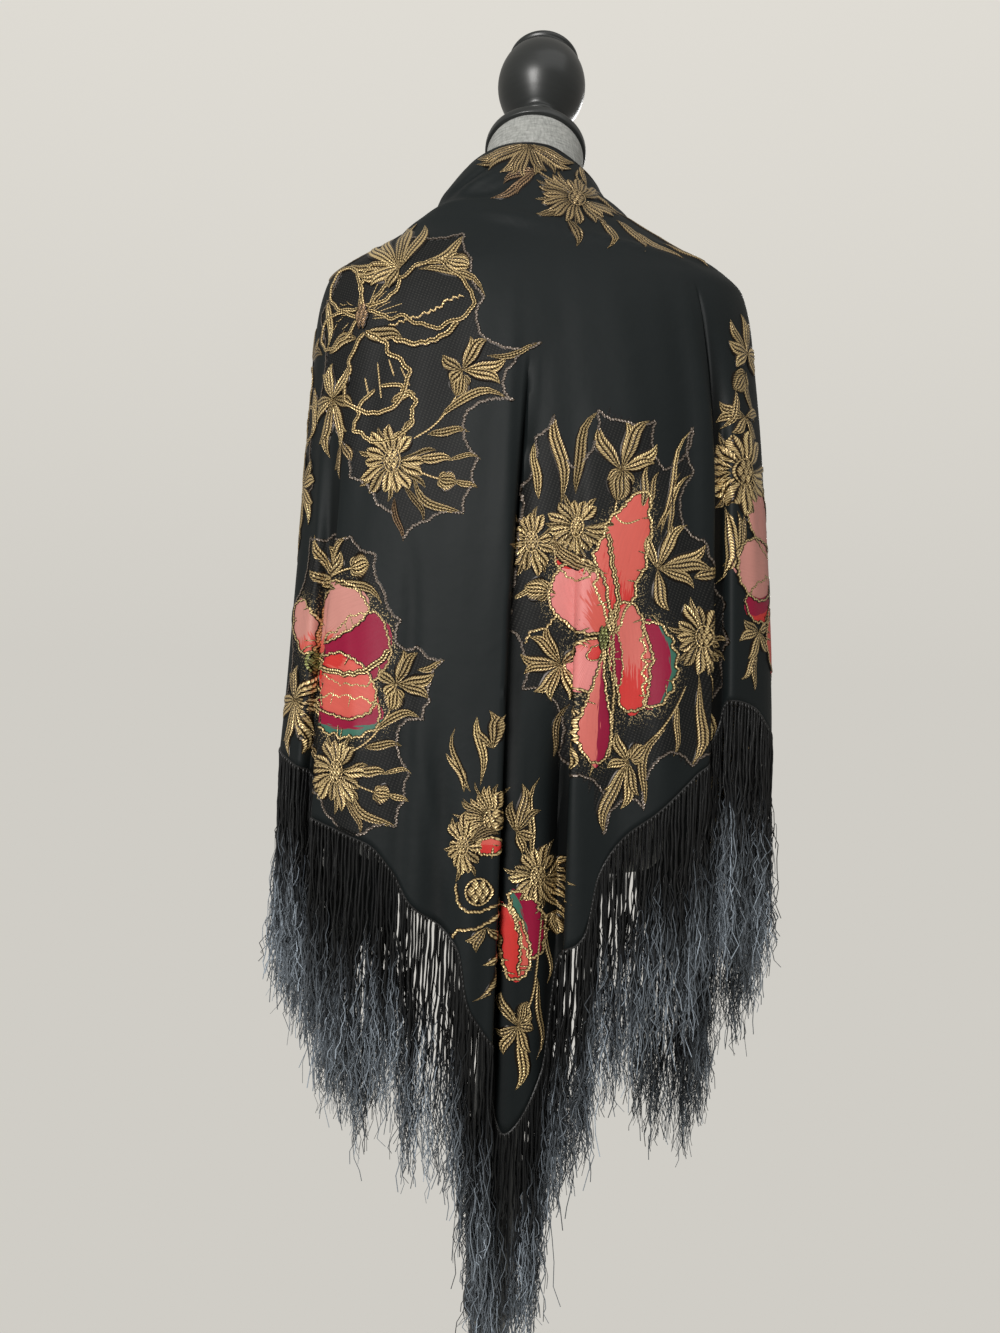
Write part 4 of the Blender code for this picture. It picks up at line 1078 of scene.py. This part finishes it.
def slim_bouquet(hoop):
    """The narrow bouquet at the shawl's point: a standing one folded in half down its middle."""
    leaves(hoop, ((-36, 48), (-52, 106), 6, 0.10), ((-42, 48), (-60, 82), 8, -0.12), ribs=2)
    leaf(hoop, (-28, 54), (-33, 116), 9, -0.06, fullest=0.6)
    fan(hoop, (-17, 88), ((-34, 108), (-22, 122), (-12, 119)), 9)
    daisy(hoop, (-41, 0), 30, 12, 0.2, 0.55)
    daisy(hoop, (-17, 24), 33, 13, 0.1, 0.9, start=0.9, span=3.3)
    silk_petal(hoop, (-30, 0), (-9, 1), 16, SCARLET, CORAL, (0, 1, 0.1), 0, 0.5, 0.6, (4, 1.0), 0.5, 2.6, 3)
    leaf(hoop, (-34, 4), (-10, 11), 10, 0.25, 0.5, 1.1, OLD_GOLD, 4)
    button(hoop, (-26, -40), 10, 11)
    cord(hoop, ((-46, -34), (-44, -54), (-28, -60), (-10, -52), (-6, -34)), 3.0, (8, 0.6))
    cord(hoop, ((-50, -90), (-44, -74), (-28, -74), (-14, -66), (-8, -54)), 3.0, (8, 0.6))
    fan(hoop, (-18, -72), ((-36, -84), (-26, -94), (-8, -90)), 8)
    leaves(hoop, ((-8, -96), (-28, -138), 6, 0.16), ((-6, -92), (-20, -106), 6, 0.1), ribs=2)
    silk_petals(
        hoop,
        ((4, -40), (27, -104), 26, MAGENTA, TEAL, (-0.7, -1, 0.05), 0.10, 0.5, 0.5, (9, 2.0), 0.4, 3, 5),
        ((-4, -52), (12, -124), 26, SCARLET, CORAL, (0, 1, 0.3), 0.06, 0.6, 0.5, (3, 0.8), 0.7, 3, 4),
    )
    cord(hoop, ((2, -50), (10, -70), (14, -92), (12, -118)), 3.2, (8, 1.0), 1.2)
    fan(hoop, (6, 12), ((2, 40), (10, 56), (28, 32), (24, 10), (12, -8)))
    leaf(hoop, (22, -14), (26, 62), 7, 0.06, ribs=2)
    daisy(hoop, (27, -28), 31, 13, 0.1, 0.85)
    leaves(hoop, ((34, -34), (60, -10), 7, 0.1), ((34, -34), (62, -32), 7, 0.06),
           ((34, -34), (60, -50), 7, -0.1), ((34, -34), (54, -62), 7, -0.15), ribs=2)
    bud(hoop, (42, -62), (48, -84), 9)
    cord(hoop, ((32, -60), (30, -100), (27, -140), (18, -156)), 2.2)
    leaves(hoop, ((34, -70), (40, -128), 5, 0.04), ((30, -120), (32, -196), 6, 0.03), ribs=2)
    fan(hoop, (14, -164), ((-2, -134), (22, -146), (-6, -170), (2, -190), (14, -222), (26, -188),
                           (28, -168)))
    bud(hoop, (16, -162), (22, -142), 10)


def side_bouquet(hoop):
    """The bouquet half hidden behind the side fold: sprays, a big daisy and a pale orchid."""
    fan(hoop, (10, 118), ((-16, 146), (0, 156), (20, 152), (34, 128), (-18, 124), (-8, 100),
                          (26, 100)), 13)
    bud(hoop, (4, 96), (-10, 78), 14)
    leaves(hoop, ((8, 100), (22, 52), 10, -0.14), ((-8, 78), (-20, 40), 8, 0.2))
    fan(hoop, (4, 54), ((-22, 66), (-24, 46), (-8, 36), (24, 36), (28, 60)))
    daisy(hoop, (4, 0), 44, 13, 0.2)
    leaves(hoop, ((-10, -34), (-20, -108), 9, 0.14), ((-2, -38), (-14, -90), 8, 0.2))
    leaf(hoop, (4, -40), (-8, -82), 7, 0.14, tint=OLD_GOLD)
    silk_petals(
        hoop,
        ((76, -78), (14, -10), 44, PALE_PINK, CORAL, (-1, 0, -0.3), 0.1, 0.6, 0.5, (3, 0.8), 0.5),
        ((70, -96), (8, -132), 40, MAGENTA, SCARLET, (0, 1, 0.5), 0.05, 0.6, 0.5, (7, 1.8), 0.4),
        ((72, -84), (-4, -88), 60, PALE_PINK, PINK, (-1, 0, -0.3), 0.06, 0.62, 0.5, (3, 0.8), 0.8),
        ((74, -92), (56, -190), 40, CORAL, MAGENTA, (0, 1, 0.3), -0.05, 0.6, 0.6, (6, 1.4), 0.6),
        ((78, -80), (120, -16), 50, PALE_PINK, CORAL, (-1, 0, -0.3), -0.1, 0.6, 0.5, (3, 0.8), 0.5),
        ((80, -88), (132, -120), 46, CORAL, SCARLET, (1, 0, 0.6), 0.1, 0.6, 0.5, (6, 1.4), 0.6),
    )
    button(hoop, (76, -86), 7, 12, OLIVE)
    fan(hoop, (26, -150), ((6, -140), (2, -160), (12, -176), (44, -168), (40, -146)))
    fan(hoop, (118, -64), ((154, -38), (166, -70), (150, -106), (134, -18)), 11)
    fan(hoop, (84, 8), ((62, 46), (84, 58), (108, 42)))
    daisy(hoop, (106, -192), 28, 13, 0.3)
    leaves(hoop, ((20, -170), (4, -196), 8, 0.1), ((24, -172), (22, -206), 8, -0.1))


def collar_flowers(hoop):
    """The flowers on the collar, partly over its rolled edge."""
    fan(hoop, (-4, 66), ((-62, 60), (-50, 44), (-32, 32), (-14, 26), (2, 28), (14, 34), (30, 38),
                         (44, 54)), 13, OLD_GOLD, 4)
    fan(hoop, (-4, 62), ((-60, 50), (-44, 36), (-24, 26), (-6, 22), (22, 32), (40, 44)), 10, OLD_GOLD, 2)
    fan(hoop, (4, 34), ((-40, 0), (-28, 18), (-20, 34), (-14, 4)), 11, COPPER)
    cord(hoop, ((4, 34), (14, 26), (26, 20)), 3.0, tint=OLD_GOLD)
    daisy(hoop, (44, 4), 34, 19, 0.0, 1.25, OLD_GOLD)
    cord(hoop, ((48, 46), (44, 34), (56, 22), (80, 10)), 3.4, tint=OLD_GOLD)
    leaves(hoop, ((34, -24), (43, -56), 10, 0.14), ((66, -22), (72, -56), 10, 0.26),
           ((84, -16), (108, -56), 10, 0.12), ((104, -28), (148, -56), 10, -0.10),
           ((130, -38), (178, -58), 10, 0.06), tint=OLD_GOLD)
    cord(hoop, ((60, 18), (84, 6), (120, -20), (160, -42)), 3.4, tint=OLD_GOLD)
    leaves(hoop, ((58, 30), (62, 60), 9, 0.2), ((82, 4), (140, -34), 8, 0.10),
           ((22, -14), (4, -20), 8, 0.10), tint=OLD_GOLD)


trailing_bouquet(Hoop(-120, 1255))
trailing_bouquet(Hoop(-163, 968, 0.88, 0.98), PALE_PINK, CORAL)
standing_bouquet(Hoop(78, 1102), PINK, CORAL)
slim_bouquet(Hoop(0, 908))
side_bouquet(Hoop(214, 1262))
collar_flowers(Hoop(0, 1520))

# the sides and the two ends that hang in front
trailing_bouquet(Hoop(-312, 1180, -0.95, 0.95))
standing_bouquet(Hoop(-452, 1240, 0.85, 0.85), PINK, CORAL)
trailing_bouquet(Hoop(-440, 905, -0.8, 0.8), PINK, CORAL)
trailing_bouquet(Hoop(452, 1220, 0.8, 0.85))
standing_bouquet(Hoop(440, 985, -0.85, 0.95), PALE_PINK, CORAL)

TOP_MARGIN = 0.002               # between patches and the cloth's top edge
HEM_MARGIN = 0.004               # between patches and the hem
LAST_SHARE = 0.985               # of the way round to a front edge
MOST_OFF = 0.3                   # a patch with more of it off the cloth is left out
BACK_HALF = 0.24                 # way round at which the gold of the back gives way to that in front
ALL_ROUND = 0.70


def thread_mesh(name, points, faces, colours):
    """A smooth mesh of thread, with a colour at each point."""
    mesh = bpy.data.meshes.new(name)
    mesh.from_pydata(points.tolist(), [], faces)
    point_colours(mesh, "thread", colours)
    mesh.shade_smooth()
    return mesh


def sewn_piece(name, kind, finish, start, end):
    """All patches of one kind between two ways round, laid on the cloth as one piece."""
    rows = [[] for _ in range(6)]
    faces = []
    count = 0
    for size, plan, *values in sewn[kind]:
        way, height = plan.T / 1000
        share = np.clip(way / half_round_at(way, height), -1.0, 1.0)
        top, hem = edges_at(share)
        top, hem = top - TOP_MARGIN, hem + HEM_MARGIN
        off_cloth = (height > top) | (height < hem) | (np.abs(share) > LAST_SHARE)
        if not start <= way.mean() < end or off_cloth.mean() > MOST_OFF:
            continue
        place = np.stack((np.clip(share, -LAST_SHARE, LAST_SHARE), np.clip(height, hem, top)), axis=1)
        for row, value in zip(rows, (place, *values)):
            row.append(value)
        faces.append(stitch_grid(size)[2] + count)
        count += len(plan)
    place, lift, stitch, tint, second, change = (np.concatenate(row) for row in rows)
    faces = np.concatenate(faces)
    points = on_cloth(place[:, 0], place[:, 1], CLOTH_LIFT + lift / 1000)
    mesh = thread_mesh(name, points, faces.tolist(), tint)
    mesh.uv_layers.new(name="stitch").data.foreach_set("uv", stitch[faces.ravel()].ravel())
    if kind == "silk":
        point_colours(mesh, "second_thread", second)
        point_values(mesh, "change", change)
    ride_piece(name, mesh, finish)


STITCH_PITCH = 2.9               # along a rib of gold thread
STRAND_PITCH = 0.9               # across satin stitches
# painted highlight and shade of the gold thread, from groove to crest
RIB_LIGHT_AND_SHADE = (
    (0.16, (0.010, 0.006, 0.003)), (0.36, (0.15, 0.11, 0.08)),
    (0.56, (0.62, 0.58, 0.50)), (0.72, (1.0, 1.0, 1.0)),
)
GLINT_SCALE = 480.0
TARNISH_SCALE = 70.0
RIB_DEPTH = 0.0013
STREAK_SCALE = (0.55, 0.045, 1.0)
SATIN_DEPTH = 0.0002
STREAK_SHEEN_AND_TONE = (0.62, 0.60, 0.60)

# The thread's light and shade are painted into its base colour: rib crests and the cord's twists go up to
# white as painted highlights, noise adds painted glints, and grooves and leaf edges go near black as
# painted shade; tarnish darkens it at random.
gold = Finish("gold_thread", Metallic=0.45)
rib, down = gold.parts(gold.node("ShaderNodeUVMap", {"uv_map": "stitch"}))[:2]
gold_tint = gold.attribute("thread")
glint_noise = gold.noise(gold.place(), GLINT_SCALE, 2.0, 0.7)
tarnish = gold.noise(gold.place(), TARNISH_SCALE, 3.0)
across_rib = rib.maths("MAXIMUM", 0.0).maths("FRACT")
ridge = (across_rib * math.pi).maths("SINE")
turns = down * (2 * math.pi / STITCH_PITCH) + across_rib * 3.0 + glint_noise * 2.0
turns = turns.maths("SINE") * 0.5 + 0.5
painted_rib_light = ridge * (turns * 0.72 + 0.10 + glint_noise * 0.76) - tarnish * 0.10
painted_rib_colour = gold.node("ShaderNodeValToRGB", {"stops": RIB_LIGHT_AND_SHADE}, {"Fac": painted_rib_light})
gold.set({
    "Base Color": gold.blend(1.0, painted_rib_colour, gold_tint, "MULTIPLY"),
    "Roughness": tarnish * 0.16 + 0.20,
    "Normal": gold.bump(ridge * (turns * 0.45 + 0.55), RIB_DEPTH, 0.9),
})
sewn_piece("gold_embroidery_back", "gold", gold, -BACK_HALF, BACK_HALF)
sewn_piece("gold_embroidery_left_front", "gold", gold, -ALL_ROUND, -BACK_HALF)
sewn_piece("gold_embroidery_right_front", "gold", gold, BACK_HALF, ALL_ROUND)

satin = Finish("satin_stitched_silk", Roughness=0.46, Specular_IOR_Level=0.35)
stitch_at = satin.node("ShaderNodeUVMap", {"uv_map": "stitch"})
strand = (satin.parts(stitch_at)[0] * (2 * math.pi / STRAND_PITCH)).maths("SINE") * 0.5 + 0.5
streaks = satin.node("ShaderNodeMapping", None, {"Vector": stitch_at, "Scale": STREAK_SCALE})
streaks = satin.noise(streaks, 1.0, 2.0, 0.6)
turned = satin.node("ShaderNodeMapRange", None, {
    "Value": satin.attribute("change", "Fac") + (streaks - 0.5) * 0.9,
    "From Min": -0.02, "From Max": 0.05})
two_tone = satin.blend(turned, satin.attribute("thread"), satin.attribute("second_thread"))
satin.set({
    # painted sheen together with uneven thread: the satin is darker in streaks along its stitches
    "Base Color": satin.blend(streaks * 0.5, two_tone, STREAK_SHEEN_AND_TONE, "MULTIPLY"),
    "Normal": satin.bump(strand + streaks, SATIN_DEPTH, 0.5),
})
sewn_piece("silk_embroidery", "silk", satin, -ALL_ROUND, ALL_ROUND)

# the net ground shows in the cloth itself, inside the bouquets' edges, and gold
# stitches are scattered over it close round the silk petals
NET_MARGIN = 8                   # outside a bouquet in which the distance to its edge is found
GILT_MARGIN = 20                 # round a petal, in which stitches are scattered
GILT_REACH = 11                  # over which they thin out
cloth_points = cloth_uv * 1000
net_depth_at = np.full(len(cloth_points), -1.0)
gilt = np.zeros(len(cloth_points))


def points_near(outline, margin):
    """Which of the cloth's points lie within a margin of an outline's box."""
    low, high = outline.min(axis=0) - margin, outline.max(axis=0) + margin
    return np.all((cloth_points > low) & (cloth_points < high), axis=1).nonzero()[0]


for edge in grounds:
    near = points_near(edge, NET_MARGIN)
    p = cloth_points[near][:, None, :]
    a, b = edge[None], np.roll(edge, -1, axis=0)[None]
    run = b - a
    t = np.clip(((p - a) * run).sum(axis=2) / (run * run).sum(axis=2), 0, 1)
    away = np.hypot(*np.moveaxis(p - a - run * t[..., None], 2, 0)).min(axis=1)
    crosses = (a[..., 1] > p[..., 1]) != (b[..., 1] > p[..., 1])
    climb = np.where(run[..., 1] == 0, 1e-9, run[..., 1])
    level = a[..., 0] + run[..., 0] * (p[..., 1] - a[..., 1]) / climb
    inside = (crosses & (p[..., 0] < level)).sum(axis=1) % 2 == 1
    net_depth_at[near] = np.maximum(net_depth_at[near], np.where(inside, away, -away))
for patch in sewn["silk"]:
    near = points_near(patch[1], GILT_MARGIN)
    away = np.linalg.norm(cloth_points[near][:, None] - patch[1][None, ::2], axis=2).min(axis=1)
    gilt[near] = np.maximum(gilt[near], hump(away, 0, GILT_REACH))
point_values(cloth.data, "net_ground", net_depth_at)
point_values(cloth.data, "gilding", gilt)

# ------------------------------------------------------------------- fringe
# Twisted silk strings knotted into the hem of both layers of the folded
# square.  They hang straight, waver, draw together in tufts and fray out
# into fine grey filaments over their lower half.
STRING_PITCH = 0.0042            # along the hem, in each of the two layers
STRING_RADIUS = 0.00108
STRING_STEPS = 22
STRING_LENGTH = 0.228
FILAMENTS = 5                    # that each string frays into
FILAMENT_RADIUS = 0.00034
FILAMENT_STEPS = 9
STRAYS = 14                      # loose curling threads in each stretch of fringe
STRAY_STEPS = 16
LAYER_DEPTHS = (0.0005, -0.0045)     # of the outer and the inner layer's strings, out of the cloth
STRING_BLACK = np.array((0.0024, 0.0028, 0.0034))
STRING_GREY = np.array((0.036, 0.043, 0.053))
HAIR_GREY = np.array((0.200, 0.232, 0.268))
FRINGES = ("front_left", "side_left", "back_left", "back_right", "side_right", "front_right")
FRINGE_ENDS = (-HALF_SPAN, -0.420, -0.226, 0.004, 0.206, 0.420, HALF_SPAN)
LAST_ROOT = 0.998                # share of the way round, just inside a front edge
BEAD_SIZE = (0.0014, 0.0014, 0.0030)     # radii of the knot at each string's root
BEAD_DROP = 0.0022               # of its middle below the hem
BEAD_BLACK = 0.0065


def thread_template(sides, steps):
    """A straight thread of unit size: each point's turn round it, its step down, and the faces."""
    shape = bmesh.new()
    bmesh.ops.create_circle(shape, segments=sides, radius=1.0)
    edges = list(shape.edges)
    for _ in range(steps):
        risen = bmesh.ops.extrude_edge_only(shape, edges=edges)["geom"]
        edges = [g for g in risen if isinstance(g, bmesh.types.BMEdge)]
        verts = [g for g in risen if isinstance(g, bmesh.types.BMVert)]
        bmesh.ops.translate(shape, verts=verts, vec=(0, 0, -1))
    bmesh.ops.recalc_face_normals(shape, faces=shape.faces)
    shape.verts.index_update()
    places = np.array([v.co for v in shape.verts])
    faces = np.array([[v.index for v in face.verts] for face in shape.faces])
    shape.free()
    return np.arctan2(places[:, 1], places[:, 0]), np.rint(-places[:, 2]).astype(int), faces


class Skein:
    """Threads gathered into one stretch of fringe."""

    def __init__(self):
        self.points, self.faces, self.colours = [], [], []
        self.count = 0

    def add(self, points, faces, colours):
        """Adds points and colours, and faces that count these points from nought."""
        self.points.append(points)
        self.colours.append(colours)
        self.faces += [[corner + self.count for corner in face] for face in faces]
        self.count += len(points)


def thread_copies(template, paths, radius):
    """Copies of a thread bent along paths: points, shares down, owners and faces."""
    turn, step, faces = template
    radii = np.broadcast_to(radius, paths.shape[:2])[:, step]
    points = paths[:, step]
    points[..., 0] += radii * np.cos(turn)
    points[..., 1] += radii * np.sin(turn)
    share = np.tile(step / step.max(), len(paths))
    owner = np.repeat(np.arange(len(paths)), len(step))
    faces = faces[None] + np.arange(len(paths))[:, None, None] * len(step)
    return points.reshape(-1, 3), share, owner, faces.reshape(-1, 4).tolist()


def hanging(roots, fall, steps):
    """Paths that hang straight down from their roots, and the shares down them."""
    t = np.linspace(0, 1, steps + 1)
    paths = np.repeat(roots[:, None, :], steps + 1, axis=1)
    paths[..., 2] -= fall[:, None] * t
    return paths, t


def fading(down, low, high, pale, tone):
    """Thread that fades from black to a paler grey between two shares down it."""
    grey = ease(low, high, down)[:, None]
    return (STRING_BLACK * (1 - grey) + pale * grey) * tone[:, None]


def wander(count, steps, size, slowest=1.0, fastest=3.5):
    """Smooth sideways wavering for many threads at once, nought at their roots."""
    t = np.linspace(0, 1, steps + 1)
    out = np.zeros((count, steps + 1, 2))
    for _ in range(3):
        rate = dice.uniform(slowest, fastest, (count, 1, 2))
        phase = dice.uniform(0, 2 * math.pi, (count, 1, 2))
        out += np.sin(2 * math.pi * rate * t[None, :, None] + phase) - np.sin(phase)
    return out * size / 3


ROOT_JITTER = 0.15               # of a string along the hem, as a share of the pitch
STRING_WIDTHS = (0.75, 1.20)     # least and greatest, as shares of the radius
HAIR_WIDTHS = (0.7, 1.6)
HAIR_STARTS = (0.28, 0.95)       # shares down a string at which filaments leave it
HAIR_LENGTHS = (0.45, 1.0)
STRING_GREYS = (0.40, 1.15)      # shares down between which the black fades
HAIR_GREYS = (0.38, 0.95)
FRAY_TONE = 1.8                  # how much the well frayed strings stand out
HEM_POINTS = 1200                # at which a stretch of hem is measured
TUFT_SPACING = (90, 70)          # turns of the tufts' waves for each metre of x and y
STRING_FALL = 0.80               # of its length, where the rest is taken up by wavering
SWAY = 0.0038                    # of a string, and of its finer wavering
FINE_SWAY = 0.0020
TUFT_DRAW = (0.0075, 0.0026)     # how far strings lean together, slowly and fast along the hem
HAIR_SWAY = 0.0056               # of a filament, and how far filaments spread
HAIR_SPREAD = 0.0046
STRAY_SWAY = 0.011               # of a stray thread, its fall and its curl
STRAY_FALL = (-0.01, 0.10)
STRAY_CURL = 0.012
FIBRE_SCALE = (700.0, 700.0, 120.0)
FIBRE_DEPTH = 0.0003
FIBRE_BLACK = (0.004, 0.005, 0.006)

fringe_silk = Finish("frayed_fringe_silk", Sheen_Weight=0.05)
fringe_tint = fringe_silk.attribute("thread")
fibre = fringe_silk.noise(fringe_silk.place(FIBRE_SCALE), 1.0, 2.0)
fringe_silk.set({
    "Base Color": fringe_silk.blend(fibre * 0.35, fringe_tint, FIBRE_BLACK),
    "Roughness": fibre * 0.2 + 0.30,
    "Normal": fringe_silk.bump(fibre, FIBRE_DEPTH, 0.6),
})
string_template, filament_template, stray_template = (
    thread_template(3, steps) for steps in (STRING_STEPS, FILAMENT_STEPS, STRAY_STEPS)
)
bead = bmesh.new()
bmesh.ops.create_uvsphere(bead, u_segments=6, v_segments=4, radius=1.0)
bead.verts.index_update()
bead_points = np.array([v.co for v in bead.verts])
bead_faces = [[v.index for v in face.verts] for face in bead.faces]
bead.free()
for name, start, end in zip(FRINGES, FRINGE_ENDS, FRINGE_ENDS[1:]):
    skein = Skein()
    ways = np.linspace(start, end, HEM_POINTS)
    shares = np.clip(ways / HALF_SPAN, -LAST_ROOT, LAST_ROOT)
    hem_line = on_cloth(shares, smooth_curve(HEM, 1, ways), 0.0)
    length = np.concatenate(([0.0], np.cumsum(np.linalg.norm(np.diff(hem_line, axis=0), axis=1))))
    roots = []
    for depth in LAYER_DEPTHS:
        number = int(length[-1] / STRING_PITCH)
        at = np.arange(number) + 0.5 + ROOT_JITTER * dice.uniform(-1, 1, number)
        at = at / number * length[-1]
        height = smooth_curve(HEM, 1, np.interp(at, length, ways))
        roots.append(on_cloth(np.interp(at, length, shares), height, depth))
    roots = np.concatenate(roots)

    # the strings, drawn together in tufts
    number = len(roots)
    spot = roots[:, :2] @ TUFT_SPACING
    tuft = np.sin(spot * 1.1) * 0.5 + np.sin(spot * 2.7 + 1.0) * 0.5
    reach = STRING_LENGTH * (1 + 0.09 * tuft + 0.06 * dice.uniform(-1, 1, number))
    draw = np.cos(spot * 1.1 + 0.5) * TUFT_DRAW[0] - np.sin(spot * 3.1) * TUFT_DRAW[1]
    path, t = hanging(roots, reach * STRING_FALL, STRING_STEPS)
    sway = wander(number, STRING_STEPS, SWAY) + wander(number, STRING_STEPS, FINE_SWAY, 4.0, 9.0)
    path[..., :2] += sway * (0.15 + 0.85 * t)[:, None]
    path[..., 0] += draw[:, None] * t ** 2
    radii = STRING_RADIUS * (1 - 0.70 * ease(0.50, 1.0, t)) * dice.uniform(*STRING_WIDTHS, (number, 1))
    points, share, owner, faces = thread_copies(string_template, path, radii)
    wisps = 0.5 + 0.3 * np.sin(spot * 2.1 + 2.0 * np.sin(spot * 0.7)) + 0.2 * np.sin(spot * 5.3 + 0.7)
    frayed = (0.35 * dice.random(number) + 0.65 * wisps) ** FRAY_TONE
    early = 0.22 * (wisps - 0.5)
    tone = 0.5 + 1.0 * frayed
    skein.add(points, faces, fading(share + early[owner], *STRING_GREYS, STRING_GREY, tone[owner]))

    # the filaments that the strings fray into
    count = number * FILAMENTS
    string = np.repeat(np.arange(number), FILAMENTS)
    begin = dice.uniform(*HAIR_STARTS, count)
    place = begin * STRING_STEPS
    low = place.astype(int)
    above, below = path[string, low], path[string, np.minimum(low + 1, STRING_STEPS)]
    begin_at = above + (below - above) * (place - low)[:, None]
    fall = reach[string] * (1.02 + 0.10 * dice.uniform(-1, 1, count))
    fall -= roots[string, 2] - begin_at[:, 2]
    fall = np.maximum(fall, 0.02) * dice.uniform(*HAIR_LENGTHS, count)
    hair, t = hanging(begin_at, fall, FILAMENT_STEPS)
    hair[..., :2] += wander(count, FILAMENT_STEPS, HAIR_SWAY, 0.6, 3.6)
    hair[..., :2] += dice.normal(0, HAIR_SPREAD, (count, 1, 2)) * (t ** 1.3)[:, None]
    radii = FILAMENT_RADIUS * dice.uniform(*HAIR_WIDTHS, (count, 1))
    points, share, owner, faces = thread_copies(filament_template, hair, radii)
    tone = 0.05 + 2.0 * frayed[string] + 2.2 * dice.random(count) ** 5
    down = begin[owner] + (1 - begin[owner]) * share + early[string][owner]
    skein.add(points, faces, fading(down, *HAIR_GREYS, HAIR_GREY, tone[owner]))

    # stray threads that curl out half way down, and the knots in the hem
    strays = dice.choice(number, STRAYS, replace=False)
    fall = dice.uniform(*STRAY_FALL, STRAYS)
    hair, t = hanging(path[strays, STRING_STEPS // 2], fall, STRAY_STEPS)
    hair[..., 2] -= STRAY_CURL * np.sin(9 * t)
    hair[..., :2] += wander(STRAYS, STRAY_STEPS, STRAY_SWAY, 0.5, 1.4)
    points, _, _, faces = thread_copies(stray_template, hair, FILAMENT_RADIUS)
    skein.add(points, faces, np.broadcast_to(STRING_GREY * 2.0, points.shape))
    for root in roots:
        knot = root + bead_points * BEAD_SIZE - (0, 0, BEAD_DROP)
        skein.add(knot, bead_faces, np.full(knot.shape, BEAD_BLACK))

    mesh = thread_mesh("fringe_" + name, np.concatenate(skein.points), skein.faces,
                       np.concatenate(skein.colours))
    ride_piece("silk_fringe_" + name, mesh, fringe_silk, ["fringe_" + name])

# the cloth's edge is rolled and whipped all round
EDGE_RADIUS = 0.0011
EDGE_STEPS = 700
EDGE_BLACK = 0.010
share = np.linspace(-1.0, 1.0, EDGE_STEPS + 1)
top, hem = edges_at(share)
edges = [(share, hem), (share, top)]
for end in (0, -1):
    edges.append((np.full_like(share, share[end]), np.linspace(top[end], hem[end], EDGE_STEPS + 1)))
across, along, faces = stitch_grid((6, EDGE_STEPS))
index = np.rint(along * EDGE_STEPS).astype(int)
spin = 2 * math.pi * across[:, None]
edge_points, edge_faces = [], []
for number, (share, height) in enumerate(edges):
    line = on_cloth(share, height, 0.0)
    away = read_table(outward, share, height)
    run = np.gradient(line, axis=0)
    beside = np.cross(run / np.linalg.norm(run, axis=1, keepdims=True), away)
    ring = np.cos(spin) * away[index] + np.sin(spin) * beside[index]
    edge_points.append(line[index] + EDGE_RADIUS * ring)
    edge_faces.append(faces + number * len(across))
edge_points, edge_faces = np.concatenate(edge_points), np.concatenate(edge_faces).tolist()
mesh = thread_mesh("rolled_edge", edge_points, edge_faces, np.full(edge_points.shape, EDGE_BLACK))
ride_piece("rolled_edge", mesh, fringe_silk)

# --------------------------------------------------------- floor and lights
# A pale floor that fades out into a pale plain background, lit softly from
# the upper left behind the camera.
FLOOR_RADIUS = 0.62
FLOOR_SOLID = 0.28               # radius out to which the floor is opaque
FLOOR_DROP = 0.0005              # so that the floor lies just under the base
FLOOR_PALE = (0.64, 0.62, 0.57)
ROOM_SHADES = ((0.0, (0.630, 0.610, 0.565)), (0.55, (0.740, 0.715, 0.660)))    # from below upwards
ROOM_GLOW = 0.46                 # share of its own brightness with which the room lights the shawl
floor_shape = bmesh.new()
bmesh.ops.create_circle(floor_shape, cap_ends=True, segments=96, radius=FLOOR_RADIUS)
floor_mesh = bpy.data.meshes.new("floor")
floor_shape.to_mesh(floor_mesh)
floor_shape.free()
floor = bpy.data.objects.new("floor", floor_mesh)
floor.location.z = -FLOOR_DROP
bpy.context.scene.collection.objects.link(floor)
pale = Finish("pale_floor", Roughness=0.8)
on_floor = pale.node("ShaderNodeTexCoord", output="Object")
off_middle = pale.node("ShaderNodeVectorMath", {"operation": "LENGTH"}, {0: on_floor}, "Value")
pale.set({
    "Base Color": FLOOR_PALE,
    "Alpha": pale.node("ShaderNodeMapRange", {"interpolation_type": "SMOOTHSTEP"}, {
        "Value": off_middle, "From Min": FLOOR_SOLID, "From Max": FLOOR_RADIUS - 0.01,
        "To Min": 1.0, "To Max": 0.0}),
})
floor_mesh.materials.append(pale.owner)

room = Finish("pale_room", bpy.data.worlds, "Background")
bpy.context.scene.world = room.owner
rise = room.parts(room.node("ShaderNodeTexCoord", output="Generated"))[2]
seen = room.node("ShaderNodeLightPath", output="Is Camera Ray")
room.set({
    "Color": room.node("ShaderNodeValToRGB", {"stops": ROOM_SHADES}, {"Fac": rise}),
    "Strength": room.node("ShaderNodeMapRange", None, {"Value": seen, "To Min": ROOM_GLOW}),
})


def soft_light(name, place, aim_height, size, power, color=(1.0, 1.0, 1.0)):
    """A rectangular lamp turned to a point on the form's axis."""
    lamp = bpy.data.lights.new(name, "AREA")
    lamp.shape = "RECTANGLE"
    lamp.size, lamp.size_y = size
    lamp.energy = power
    lamp.color = color
    light = bpy.data.objects.new(name, lamp)
    light.location = place
    aim = Vector((0.0, 0.0, aim_height)) - Vector(place)
    light.rotation_euler = aim.to_track_quat("-Z", "Y").to_euler()
    bpy.context.scene.collection.objects.link(light)


soft_light("window", (-1.05, -2.4, 1.9), 1.10, (0.9, 1.2), 53.0, (1.0, 0.985, 0.96))
soft_light("ceiling", (0.5, -0.9, 2.7), 1.2, (1.6, 1.2), 4.0)
soft_light("far_side", (0.7, 2.9, 2.1), 1.1, (1.4, 1.6), 60.0)
bpy.context.scene.view_settings.view_transform = "Standard"
